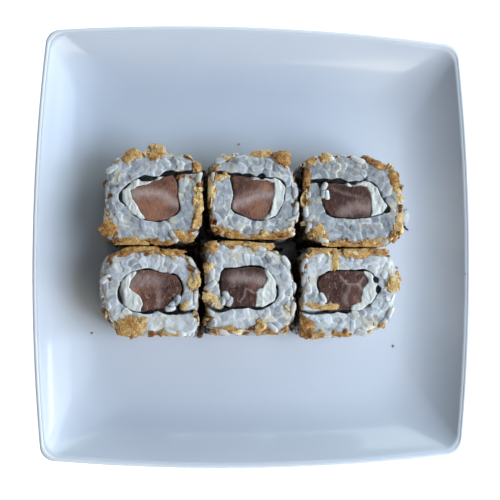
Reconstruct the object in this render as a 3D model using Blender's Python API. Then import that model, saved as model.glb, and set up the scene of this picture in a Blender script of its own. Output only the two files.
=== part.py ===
# Six salmon uramaki rolls standing cut side up, in two rows of three, on a square coupe plate.
# Metres, +Z up, origin under the middle of the plate at the level of its foot.
# Run with: blender --background --python part.py

import math
import random

import bmesh
import bpy
from mathutils import Matrix, Vector

MM = 0.001

# Plate: a square with bowed sides, seen from above, and a wall that curves up to a thin lip.
PLATE_SIZE = 180 * MM
PLATE_HEIGHT = 22 * MM
PLATE_FLOOR = 7 * MM
SIDE_BULGE = 4.5 * MM
RIM_CORNER_RADIUS = 6.2 * MM
CORNER_GROWTH = 0.55
WALL_RUN = 25 * MM
WALL_CURVE = 2.1
WALL_THICKNESS = 3.6 * MM
LIP_WIDTH = 2.6 * MM
LIP_INNER_DROP = 0.5 * MM
LIP_CREST = 0.3  # share of the lip's width at which it is highest
LIP_OUTER_STEP = 0.35 * MM
LIP_OUTER_DROP = 1.3 * MM
UNDERCUT = 0.9 * MM
FOOT_INSET = 35 * MM
FOOT_WIDTH = 4 * MM
FOOT_HEIGHT = 2.4 * MM
FOOT_OUTER_SLOPE = 0.6 * MM
FOOT_INNER_SLOPE = 0.8 * MM
SMOOTH_ANGLE = math.radians(40)
WALL_STEPS = 6
OUTSIDE_STEPS = 4
SIDE_STEPS = 6
CORNER_STEPS = 4

# Rolls: the height of a slice, and the gap that neighbouring solids keep.
ROLL_HEIGHT = 27 * MM
GAP = 0.3 * MM
CORE_HEIGHT = ROLL_HEIGHT - 0.7 * MM
SALMON_HEIGHT = ROLL_HEIGHT - 0.2 * MM
CHEESE_HEIGHT = ROLL_HEIGHT + 0.3 * MM
CUTTER_MARGIN = 3 * MM
SLOT_MOUTH = 6 * MM
NORI_THICKNESS = 0.36 * MM
CRUST = 0.7 * MM
RICE_BUMP = 0.4 * MM
SIDE_SWELL = 0.3 * MM
GRAIN = (5.8 * MM, 2.9 * MM, 2.5 * MM)
GRAIN_LANES = (0.76, 0.33)  # how far out on the cut face, from the loop to the rim, by turns
GRAIN_TURN = 0.9  # most that a grain turns from the way along the rim, in radians
GRAIN_TILT = 0.15
GRAIN_SINK = 0.25 * MM
GRAIN_UNEVENNESS = 0.06
FLAKE = (6.2 * MM, 4.2 * MM, 2.6 * MM)
FLAKE_SCALE = (0.85, 1.2)
FLAKE_THICKNESS = (0.8, 1.2)
FLAKE_START = 0.06  # share of the way round at which the first flake sits
FLAKE_LOWEST = 0.07
FLAKE_RISE = 0.86
FLAKE_UNEVENNESS = 0.22
CLUMP_HEIGHT = 3.4 * MM
CLUMP_SINK = 0.3 * MM
CLUMP_UNEVENNESS = 0.16
GRAINS_ON_TOP = 11
FLAKES_ON_SIDE = 12
SEED_STEP = 17
OUTLINE_POINTS = 28
SIDE_LEVELS = 4
GOLDEN_SHARE = (math.sqrt(5) - 1) / 2

# Each roll in millimetres. Centre is its place on the plate, and the rest is measured from there.
# Cell is how far the slice may reach beside its neighbours, low and high. Rim is the slice's
# outline with its crust, clockwise. Filling is the nori's loop, which starts where its tail comes
# in from the outside. Salmon is the block in the loop, and cream cheese fills what it leaves.
# Clumps are the big crisp onion flakes: x, y, length, width and turn.
ROLLS = (
    {
        "name": "1",
        "centre": (-42.5, 18.0),
        "rim": (
            (-18.5, 7.2), (-16.2, 13.0), (-10.6, 16.7), (1.0, 17.9), (11.8, 16.8), (17.6, 13.0),
            (18.6, 4.5), (18.5, -8.3), (16.0, -16.2), (6.2, -18.3), (-5.4, -19.0),
            (-15.1, -18.2), (-18.8, -11.8), (-18.7, -1.1),
        ),
        "cell": ((-23.5, -19.3), (20.4, 23.0)),
        "filling": (
            (7.0, 9.0), (0.0, 7.4), (-6.5, 6.6), (-11.0, 4.0), (-13.0, -0.5), (-10.5, -5.0),
            (-6.5, -8.5), (-0.5, -10.0), (5.0, -9.3), (10.0, -5.5), (9.4, -0.5), (9.2, 5.0),
        ),
        "salmon": (
            (-9.4, 2.2), (-2.0, 5.0), (6.4, 8.4), (10.4, 8.0), (11.4, -4.0), (6.5, -11.0),
            (-0.5, -12.0), (-6.5, -4.5),
        ),
        "tail": ((17.2, 10.0), (12.8, 9.7)),
        "clumps": (
            (0.6, 17.6, 7.0, 5.5, 10), (-9.4, 15.8, 7.0, 4.0, 40), (-18.2, -13.2, 6.5, 6.0, 70),
            (18.0, -2.0, 9.0, 3.2, 95), (14.8, 8.2, 6.5, 2.4, 5), (11.5, -15.6, 8.0, 3.6, 170),
        ),
    },
    {
        "name": "2",
        "centre": (-3.4, 18.9),
        "rim": (
            (-16.6, 9.6), (-13.4, 15.1), (-3.5, 17.5), (3.5, 17.2), (11.6, 16.0), (16.4, 10.3),
            (17.9, 1.3), (17.8, -10.7), (14.6, -16.0), (4.6, -17.3), (-7.3, -17.1),
            (-15.3, -14.6), (-17.8, -8.2), (-17.8, 1.7),
        ),
        "cell": ((-18.3, -17.4), (18.3, 22.1)),
        "filling": (
            (-8.6, 8.0), (-1.0, 7.8), (5.5, 7.4), (11.0, 6.4), (13.0, 2.5), (12.0, -3.0),
            (9.0, -8.2), (3.0, -10.0), (-3.0, -8.8), (-8.6, -5.7), (-8.2, 0.0), (-8.9, 5.0),
        ),
        "salmon": (
            (-10.4, 8.6), (0.5, 6.2), (8.2, 5.2), (7.3, -3.5), (5.2, -8.0), (1.0, -12.0),
            (-6.5, -10.5), (-10.5, -4.0),
        ),
        "tail": ((-15.8, 8.8), (-12.4, 8.9)),
        "clumps": (
            (11.6, 15.4, 6.5, 6.0, 60), (3.4, 17.2, 7.0, 2.6, 8), (-16.2, 3.0, 10.0, 2.8, 88),
            (-13.6, 7.4, 7.0, 2.4, 12), (-9.0, -14.8, 9.0, 3.4, 160), (11.0, -15.4, 9.5, 3.4, 8),
        ),
    },
    {
        "name": "3",
        "centre": (36.6, 17.8),
        "rim": (
            (-19.8, 14.1), (-13.3, 17.9), (-3.0, 18.4), (7.2, 17.3), (15.5, 14.7), (19.8, 9.3),
            (20.6, -0.9), (19.7, -12.0), (16.4, -17.1), (5.1, -18.4), (-8.2, -18.2),
            (-17.1, -15.5), (-20.1, -6.5), (-19.9, 4.5),
        ),
        "cell": ((-21.2, -18.9), (24.4, 23.2)),
        "filling": (
            (-13.5, 7.6), (-7.5, 7.6), (-0.5, 6.9), (5.0, 7.9), (9.4, 6.2), (12.6, 0.6),
            (14.8, -3.6), (8.0, -6.8), (-1.0, -7.4), (-9.3, -6.4), (-12.4, -1.5), (-13.2, 4.0),
        ),
        "salmon": (
            (-13.6, 4.0), (-7.5, 7.0), (-1.0, 5.4), (5.8, 5.6), (7.6, 0.0), (6.4, -9.0),
            (-3.5, -9.4), (-11.5, -7.6),
        ),
        "tail": ((-18.8, 6.6), (-16.4, 7.3)),
        "clumps": (
            (17.6, 8.4, 8.0, 4.0, 110), (9.0, 15.6, 10.0, 3.0, 155), (-11.4, 17.2, 5.0, 3.4, 30),
            (19.0, -9.4, 10.0, 3.2, 85), (-12.6, -13.6, 9.0, 4.0, 125), (8.5, -17.0, 11.0, 3.4, 5),
        ),
    },
    {
        "name": "4",
        "centre": (-43.6, -19.4),
        "rim": (
            (-18.9, 8.9), (-15.9, 14.5), (-9.1, 16.7), (1.5, 16.7), (11.3, 15.4), (17.0, 11.9),
            (18.6, 4.3), (18.8, -5.4), (19.3, -14.2), (15.4, -17.3), (3.7, -16.8), (-7.8, -16.9),
            (-16.0, -11.9), (-19.1, -1.7),
        ),
        "cell": ((-22.4, -21.6), (19.7, 17.7)),
        "filling": (
            (10.0, -7.8), (3.5, -7.0), (-3.0, -8.2), (-9.0, -6.8), (-12.2, -2.0), (-11.5, 4.0),
            (-7.5, 7.6), (-1.5, 9.0), (3.5, 7.8), (10.0, 6.6), (12.5, 1.5), (11.0, -3.5),
        ),
        "salmon": (
            (-8.6, 1.6), (-6.5, 6.2), (-1.8, 11.0), (6.5, 9.4), (12.5, 8.5), (14.5, 0.5),
            (9.4, -7.5), (3.0, -9.2), (-3.2, -9.0), (-3.2, -4.6), (-4.6, -1.4),
        ),
        "tail": ((17.6, -7.0), (14.0, -7.8)),
        "clumps": (
            (-7.6, -13.2, 13.0, 8.0, 8), (16.8, 4.4, 6.5, 3.6, 70), (-10.5, 15.0, 9.0, 3.2, 20),
            (12.8, -6.0, 3.6, 2.4, 60), (8.0, 15.4, 9.0, 2.8, 175), (7.0, -16.2, 9.0, 2.4, 176),
        ),
    },
    {
        "name": "5",
        "centre": (-4.7, -17.4),
        "rim": (
            (-17.8, 13.1), (-13.9, 17.7), (-4.0, 18.0), (5.9, 16.3), (14.4, 12.1), (17.8, 4.6),
            (18.4, -6.3), (16.5, -15.7), (9.0, -18.3), (-3.9, -18.5), (-15.5, -18.0),
            (-18.1, -9.4), (-18.2, 1.4),
        ),
        "cell": ((-18.9, -23.6), (18.9, 18.3)),
        "filling": (
            (-8.6, -8.3), (-3.0, -7.7), (2.5, -8.5), (7.2, -7.2), (11.0, -3.5), (10.2, 3.0),
            (7.0, 7.0), (1.5, 8.6), (-5.0, 7.6), (-11.0, 6.8), (-11.9, 1.0), (-11.0, -4.4),
        ),
        "salmon": (
            (-13.0, 8.6), (-4.0, 9.0), (2.8, 10.4), (6.6, 3.6), (4.8, 0.0), (2.4, -2.0),
            (1.8, -10.5), (-5.5, -10.0), (-12.5, -6.5),
        ),
        "tail": ((-17.0, -7.2), (-12.8, -9.2)),
        "clumps": (
            (-15.0, -5.4, 7.0, 3.4, 145), (-15.6, 7.2, 4.6, 3.6, 50), (-14.8, 15.4, 5.0, 4.0, 60),
            (3.0, 16.4, 12.0, 3.0, 176), (4.6, -15.0, 4.0, 3.0, 100), (-10.4, -16.8, 10.0, 2.6, 3),
        ),
    },
    {
        "name": "6",
        "centre": (36.0, -19.2),
        "rim": (
            (-20.3, 11.3), (-16.5, 16.1), (-6.6, 17.4), (5.7, 17.4), (15.9, 15.7), (19.6, 8.7),
            (18.7, -3.3), (14.8, -12.3), (5.6, -16.9), (-5.6, -17.9), (-15.7, -17.7),
            (-20.7, -13.4), (-21.1, -3.5), (-20.3, 3.4),
        ),
        "cell": ((-20.8, -21.8), (25.0, 17.7)),
        "filling": (
            (-9.8, -7.6), (-2.5, -7.4), (4.5, -7.0), (8.5, -4.0), (11.2, 1.0), (9.6, 6.4),
            (5.5, 8.8), (-2.5, 8.7), (-9.5, 8.2), (-13.6, 4.6), (-13.0, 0.5), (-11.0, -4.0),
        ),
        "salmon": (
            (-16.0, 6.0), (-9.0, 10.0), (-0.5, 11.0), (5.2, 7.9), (6.8, 4.0), (4.4, 1.0),
            (3.8, -3.6), (0.0, -5.0), (-1.6, -9.6), (-11.0, -9.4), (-14.5, 0.5),
        ),
        "tail": ((-19.8, -7.6), (-15.0, -8.2)),
        "clumps": (
            (-13.0, -5.9, 13.0, 2.2, 176), (17.2, 3.8, 5.2, 8.2, 0), (-6.6, 12.6, 8.0, 2.8, 85),
            (-19.0, -13.8, 6.0, 4.5, 50), (2.0, 15.6, 12.0, 4.0, 4), (-4.4, -16.6, 8.0, 2.4, 170),
        ),
    },
)


def clear_scene():
    for thing in list(bpy.data.objects):
        bpy.data.objects.remove(thing, do_unlink=True)


def new_material(name, colour, roughness):
    material = bpy.data.materials.new(name)
    material.use_nodes = True
    shader = material.node_tree.nodes["Principled BSDF"]
    shader.inputs["Base Color"].default_value = (*colour, 1.0)
    shader.inputs["Roughness"].default_value = roughness
    shader.inputs["Metallic"].default_value = 0.0
    return material


def new_object(name, bm, material=None, smooth_angle=None):
    """A mesh object made from bm, which it frees."""
    bmesh.ops.recalc_face_normals(bm, faces=bm.faces)
    mesh = bpy.data.meshes.new(name)
    bm.to_mesh(mesh)
    bm.free()
    if smooth_angle is not None:
        mesh.shade_smooth()
        mesh.set_sharp_from_angle(angle=smooth_angle)
    thing = bpy.data.objects.new(name, mesh)
    if material:
        mesh.materials.append(material)
    bpy.context.scene.collection.objects.link(thing)
    return thing


def loft(loops):
    """A closed body through loops of equal length, each a list of 3-D points, with flat end caps."""
    bm = bmesh.new()
    rings = [[bm.verts.new(point) for point in loop] for loop in loops]
    for lower, upper in zip(rings, rings[1:]):
        for i in range(len(lower)):
            j = (i + 1) % len(lower)
            bm.faces.new((lower[i], lower[j], upper[j], upper[i]))
    bm.faces.new(reversed(rings[0]))
    bm.faces.new(rings[-1])
    return bm


def at_height(outline, z):
    return [Vector((x, y, z)) for x, y in outline]


def prism(name, outline, height, material=None):
    return new_object(name, loft([at_height(outline, 0), at_height(outline, height)]), material)


def cutter(outline):
    """A prism that runs past both ends of a slice."""
    low, high = -CUTTER_MARGIN, ROLL_HEIGHT + CUTTER_MARGIN
    return new_object("cutter", loft([at_height(outline, low), at_height(outline, high)]))


def smooth_line(points, steps, closed=True):
    """Points on a Catmull-Rom curve through the given ones, with so many steps to each span."""
    count = len(points)
    knots = [Vector(p) for p in points]
    made = []
    for i in range(count if closed else count - 1):
        before, start, end, after = (
            knots[k % count] if closed else knots[min(max(k, 0), count - 1)]
            for k in (i - 1, i, i + 1, i + 2)
        )
        for s in range(steps):
            t = s / steps
            made.append(
                0.5
                * (
                    2 * start
                    + (end - before) * t
                    + (2 * before - 5 * start + 4 * end - after) * t**2
                    + (3 * start - before - 3 * end + after) * t**3
                )
            )
    return made if closed else made + [knots[-1]]


def normals_of(points, closed=True):
    """The unit normal at each point, on the left of the way along the line."""
    count = len(points)
    found = []
    for i in range(count):
        before = points[i - 1] if closed or i > 0 else points[0]
        after = points[(i + 1) % count] if closed or i < count - 1 else points[-1]
        along = (after - before).normalized()
        found.append(Vector((-along.y, along.x)))
    return found


def is_clockwise(points):
    return sum(a.x * b.y - b.x * a.y for a, b in zip(points, points[1:] + points[:1])) < 0


def grown(points, distance):
    """A closed outline with each point moved outwards, or inwards if distance is negative."""
    side = distance if is_clockwise(points) else -distance
    return [p + n * side for p, n in zip(points, normals_of(points))]


def band(points, half_width):
    """The closed outline of a strip of even width along an open line."""
    sides = normals_of(points, closed=False)
    left = [p + n * half_width for p, n in zip(points, sides)]
    right = [p - n * half_width for p, n in zip(points, sides)]
    return left + right[::-1]


def apply_boolean(thing, operation, other, solver="EXACT"):
    """Joins, cuts or keeps the common part with another object or collection, then removes it."""
    modifier = thing.modifiers.new(operation.title(), "BOOLEAN")
    modifier.operation = operation
    modifier.solver = solver
    if isinstance(other, bpy.types.Collection):
        modifier.operand_type = "COLLECTION"
        modifier.collection = other
        helpers = list(other.objects)
    else:
        modifier.object = other
        helpers = [other]
    graph = bpy.context.evaluated_depsgraph_get()
    graph.update()
    made = bpy.data.meshes.new_from_object(thing.evaluated_get(graph))
    thing.modifiers.clear()
    thing.data = made
    for helper in helpers:
        bpy.data.objects.remove(helper, do_unlink=True)
    if isinstance(other, bpy.types.Collection):
        bpy.data.collections.remove(other)


def keep_largest_body(thing):
    """Drops loose scraps that a cut left beside the main body."""
    bm = bmesh.new()
    bm.from_mesh(thing.data)
    todo, bodies = set(bm.verts), []
    while todo:
        front = [todo.pop()]
        body = set(front)
        while front:
            for edge in front.pop().link_edges:
                for vert in edge.verts:
                    if vert not in body:
                        body.add(vert)
                        front.append(vert)
        todo -= body
        bodies.append(body)
    bodies.sort(key=len)
    for body in bodies[:-1]:
        bmesh.ops.delete(bm, geom=list(body), context="VERTS")
    bm.to_mesh(thing.data)
    bm.free()


def square_outline(inset):
    """The plate's outline so far in from its rim: four arcs for sides, joined by round corners."""
    half = PLATE_SIZE / 2 - inset
    bulge = SIDE_BULGE * half / (PLATE_SIZE / 2)
    corner = RIM_CORNER_RADIUS + CORNER_GROWTH * inset
    chord = half - bulge
    side_radius = (chord**2 + bulge**2) / (2 * bulge)
    side_centre = half - side_radius
    reach = side_radius - corner
    fillet = (side_centre + math.sqrt(2 * reach**2 - side_centre**2)) / 2
    meet = math.atan2(fillet, fillet - side_centre)
    quarter = []
    for i in range(SIDE_STEPS + 1):
        a = meet * (2 * i / SIDE_STEPS - 1)
        quarter.append((side_radius * math.sin(a), side_centre + side_radius * math.cos(a)))
    for i in range(1, CORNER_STEPS):
        a = meet + (math.pi / 2 - 2 * meet) * i / CORNER_STEPS
        quarter.append((fillet + corner * math.sin(a), fillet + corner * math.cos(a)))
    outline = []
    for turn in range(4):
        c, s = round(math.cos(turn * math.pi / 2)), round(math.sin(turn * math.pi / 2))
        outline += [(x * c + y * s, y * c - x * s) for x, y in quarter]
    return outline


def wall_height(inset):
    """Height of the inside of the plate: flat floor, then a curve that steepens towards the lip."""
    climb = max(0.0, 1 - inset / WALL_RUN) ** WALL_CURVE
    return PLATE_FLOOR + (PLATE_HEIGHT - PLATE_FLOOR) * climb


def plate_profile():
    """(inset, height) from the middle of the floor up over the lip and down to the foot."""
    lip = LIP_WIDTH / 2
    insets = [lip + (WALL_RUN - lip) * (1 - i / WALL_STEPS) for i in range(WALL_STEPS)]
    profile = [(inset, wall_height(inset - lip)) for inset in insets]
    profile += [
        (lip, PLATE_HEIGHT - LIP_INNER_DROP),
        (LIP_WIDTH * LIP_CREST, PLATE_HEIGHT),
        (LIP_OUTER_STEP, PLATE_HEIGHT - LIP_OUTER_STEP),
        (0.0, PLATE_HEIGHT - LIP_OUTER_DROP),
    ]
    for i in range(OUTSIDE_STEPS):
        inset = UNDERCUT + (FOOT_INSET - UNDERCUT) * i / OUTSIDE_STEPS
        profile.append((inset, wall_height(inset - lip) - WALL_THICKNESS))
    profile += [
        (FOOT_INSET, PLATE_FLOOR - WALL_THICKNESS),
        (FOOT_INSET + FOOT_OUTER_SLOPE, 0.0),
        (FOOT_INSET + FOOT_WIDTH, 0.0),
        (FOOT_INSET + FOOT_WIDTH + FOOT_INNER_SLOPE, FOOT_HEIGHT),
    ]
    return profile


def build_plate(glaze):
    loops = [at_height(square_outline(inset), z) for inset, z in plate_profile()]
    new_object("plate", loft(loops), glaze, smooth_angle=SMOOTH_ANGLE)


def on_rim(rim, share):
    """The point so far round a clockwise outline, as a share of its length, and the way out there."""
    sides = [(end - start).length for start, end in zip(rim, rim[1:] + rim[:1])]
    left = share % 1 * sum(sides)
    i = 0
    while left > sides[i]:
        left -= sides[i]
        i += 1
    way = (rim[(i + 1) % len(rim)] - rim[i]).normalized()
    return rim[i] + way * left, Vector((-way.y, way.x))


def build_core(name, rim, draw):
    """The packed rice without its loose pieces: a slice whose side bulges in lumps of grain size."""
    loops = []
    for level in range(SIDE_LEVELS):
        share = level / (SIDE_LEVELS - 1)
        z = CORE_HEIGHT * share
        swell = SIDE_SWELL * math.sin(math.pi * share) - CRUST
        loop = []
        for i in range(OUTLINE_POINTS):
            point, out = on_rim(rim, (i + 0.5 * (level % 2)) / OUTLINE_POINTS)
            point = point + out * (swell + draw.uniform(-RICE_BUMP, RICE_BUMP))
            loop.append((point.x, point.y, z))
        loops.append(loop)
    return new_object(name, loft(loops))


def lump(name, size, place, turn, draw, rough):
    """A twenty-sided lump, stretched to size, turned and set in place, with uneven corners."""
    bm = bmesh.new()
    bmesh.ops.create_icosphere(bm, subdivisions=1, radius=0.5)
    for vert in bm.verts:
        vert.co *= 1 + draw.uniform(-rough, rough)
        vert.co = Vector((vert.co.x * size[0], vert.co.y * size[1], vert.co.z * size[2]))
    bmesh.ops.transform(bm, matrix=Matrix.Translation(place) @ turn.to_4x4(), verts=bm.verts)
    return new_object(name, bm)


def top_grains(rim, loop, draw):
    """Grains that lie on the cut face in even steps round the ring, now further in, now further out."""
    made = []
    for i in range(GRAINS_ON_TOP):
        outer, out = on_rim(rim, i * GOLDEN_SHARE)
        inner = min(loop, key=lambda p: (p - outer).length)
        spot = inner.lerp(outer, GRAIN_LANES[i % 2])
        angle = math.atan2(out.y, out.x) + math.pi / 2 + draw.uniform(-GRAIN_TURN, GRAIN_TURN)
        tilt = draw.uniform(-GRAIN_TILT, GRAIN_TILT)
        turn = Matrix.Rotation(angle, 3, "Z") @ Matrix.Rotation(tilt, 3, "Y")
        place = (*spot, CORE_HEIGHT - GRAIN_SINK)
        made.append(lump("grain", GRAIN, place, turn, draw, GRAIN_UNEVENNESS))
    return made


def side_flakes(rim, draw):
    """Crisp flakes pressed into the side, in even steps round it and up it."""
    made = []
    for i in range(FLAKES_ON_SIDE):
        spot, out = on_rim(rim, i * GOLDEN_SHARE + FLAKE_START)
        spot = spot - out * CRUST
        z = ROLL_HEIGHT * (FLAKE_LOWEST + FLAKE_RISE * (i + 0.5) / FLAKES_ON_SIDE)
        scale = draw.uniform(*FLAKE_SCALE)
        size = (FLAKE[0] * scale, FLAKE[1] * scale, FLAKE[2] * draw.uniform(*FLAKE_THICKNESS))
        facing = Vector((out.x, out.y, 0)).to_track_quat("Z", "Y").to_matrix()
        turn = facing @ Matrix.Rotation(draw.uniform(0, math.pi), 3, "Z")
        made.append(lump("flake", size, (*spot, z), turn, draw, FLAKE_UNEVENNESS))
    return made


def top_clumps(clumps, draw):
    """The large flakes that lie along the upper edge and in the seam."""
    made = []
    for x, y, length, width, degrees in clumps:
        turn = Matrix.Rotation(math.radians(degrees), 3, "Z")
        size = (length * MM, width * MM, min(CLUMP_HEIGHT, width * MM))
        place = (x * MM, y * MM, CORE_HEIGHT - CLUMP_SINK)
        made.append(lump("clump", size, place, turn, draw, CLUMP_UNEVENNESS))
    return made


def build_rice(name, roll, loop, tail, paint):
    """The slice's rice and crust as one body, with the nori's hollow and slot cut through it."""
    draw = random.Random(int(roll["name"]) * SEED_STEP)
    rim = [p * MM for p in smooth_line(roll["rim"], 3)]
    rice = build_core(name, rim, draw)
    loose = top_grains(rim, loop, draw) + side_flakes(rim, draw) + top_clumps(roll["clumps"], draw)
    pieces = bpy.data.collections.new("pieces")
    bpy.context.scene.collection.children.link(pieces)
    for piece in loose:
        bpy.context.scene.collection.objects.unlink(piece)
        pieces.objects.link(piece)
    apply_boolean(rice, "UNION", pieces)

    (west, south), (east, north) = ((x * MM, y * MM) for x, y in roll["cell"])
    cell = [(west, south), (west, north), (east, north), (east, south)]
    apply_boolean(rice, "INTERSECT", prism("cell", cell, ROLL_HEIGHT + CUTTER_MARGIN))
    room = NORI_THICKNESS / 2 + GAP
    apply_boolean(rice, "DIFFERENCE", cutter(grown(loop, room)))
    mouth = tail[0] + (tail[0] - tail[1]).normalized() * SLOT_MOUTH
    apply_boolean(rice, "DIFFERENCE", cutter(band([mouth] + tail, room)))
    keep_largest_body(rice)
    rice.data.materials.append(paint)
    return rice


def build_roll(roll, paints):
    """One slice, made at the origin and then carried to its place on the plate by an empty."""
    name = roll["name"]
    loop = [p * MM for p in smooth_line(roll["filling"], 2)]
    tail = [p * MM for p in smooth_line((*roll["tail"], roll["filling"][0]), 2, False)]
    sheet = band(tail[:-1] + loop[:-1], NORI_THICKNESS / 2)
    nori = prism("nori_" + name, sheet, ROLL_HEIGHT, paints["nori"])
    rice = build_rice("rice_" + name, roll, loop, tail, paints["rice"])

    inside = grown(loop, -NORI_THICKNESS / 2 - GAP)
    block = [p * MM for p in smooth_line(roll["salmon"], 2)]
    salmon = prism("salmon_" + name, block, SALMON_HEIGHT, paints["salmon"])
    apply_boolean(salmon, "INTERSECT", cutter(inside))
    keep_largest_body(salmon)
    cheese = prism("cheese_" + name, inside, CHEESE_HEIGHT, paints["cheese"])
    apply_boolean(cheese, "DIFFERENCE", cutter(grown(block, GAP)))
    keep_largest_body(cheese)

    carrier = bpy.data.objects.new("roll_" + name, None)
    bpy.context.scene.collection.objects.link(carrier)
    carrier.location = (*(v * MM for v in roll["centre"]), PLATE_FLOOR + GAP)
    for thing in (nori, rice, salmon, cheese):
        thing.parent = carrier


def main():
    clear_scene()
    build_plate(new_material("glazed_porcelain", (0.74, 0.79, 0.85), 0.12))
    paints = {
        "rice": new_material("cooked_rice", (0.72, 0.73, 0.72), 0.4),
        "nori": new_material("nori", (0.012, 0.018, 0.016), 0.5),
        "salmon": new_material("raw_salmon", (0.42, 0.16, 0.10), 0.35),
        "cheese": new_material("cream_cheese", (0.80, 0.80, 0.76), 0.5),
    }
    for roll in ROLLS:
        build_roll(roll, paints)


main()
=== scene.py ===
import math

import bpy
import numpy as np
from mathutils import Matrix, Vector
from mathutils.geometry import delaunay_2d_cdt


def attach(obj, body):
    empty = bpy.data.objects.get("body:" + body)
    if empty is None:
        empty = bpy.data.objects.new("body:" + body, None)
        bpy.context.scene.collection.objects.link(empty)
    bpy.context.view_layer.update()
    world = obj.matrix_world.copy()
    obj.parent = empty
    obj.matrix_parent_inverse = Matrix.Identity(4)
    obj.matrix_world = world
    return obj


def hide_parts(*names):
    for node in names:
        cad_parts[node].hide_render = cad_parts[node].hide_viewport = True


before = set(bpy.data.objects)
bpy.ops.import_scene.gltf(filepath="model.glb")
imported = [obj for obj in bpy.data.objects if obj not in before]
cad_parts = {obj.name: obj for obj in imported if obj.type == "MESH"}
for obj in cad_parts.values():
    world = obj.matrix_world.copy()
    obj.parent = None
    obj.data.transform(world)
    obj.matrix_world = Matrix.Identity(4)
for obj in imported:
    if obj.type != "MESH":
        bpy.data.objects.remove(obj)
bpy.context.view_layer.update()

mm = 0.001
print("frame loaded:", len(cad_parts), "nodes")

# Six slices of salmon uramaki in crisp onion on a square plate, seen from above.
# Lengths are in millimetres until a piece becomes a mesh. A slice's points are measured from
# its centre, and its height from the plate's floor.

plateLook = {
    "half": 90.0,  # from the middle to the middle of a side
    "height": 22.0,
    "floor": 7.0,
    "bulge": 4.5,  # how far a side bows out
    "rimCorner": 6.2,  # radius of a corner at the rim
    "cornerGrowth": 0.55,  # how much rounder the corners get further in
    "wallRun": 25.0,  # how far in from the rim the wall meets the floor
    "wallCurve": 2.1,
    "wallThickness": 3.6,
    "lip": 2.6,
    "lipDrop": 0.75,  # from the top of the lip to its round edge's middle
    "undercut": 0.9,
    "footInset": 35.0,
    "footWidth": 4.0,
    "footHeight": 2.4,
    # the foot ring's outline: (further in than its outer or inner edge, height)
    "footOuter": ((0.3, 1.6), (0.6, 0.45), (0.95, 0.08), (1.4, 0.0)),
    "footInner": ((-0.6, 0.0), (0.0, 0.3), (0.5, 1.9), (1.1, 2.4)),
    "innerInset": 40.0,  # further in than this, the outline only shrinks
    "unevenness": 0.10,
    "handWaves": ((34, 3, 1.0), (15, 4, 0.4)),  # size, seed, height
}
sliceHeight = 27.0
sliceBase = plateLook["floor"] + 0.3
cellMargin = 0.06  # how far a slice's points stay inside its cell
lowest = 0.02  # and above the floor

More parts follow.
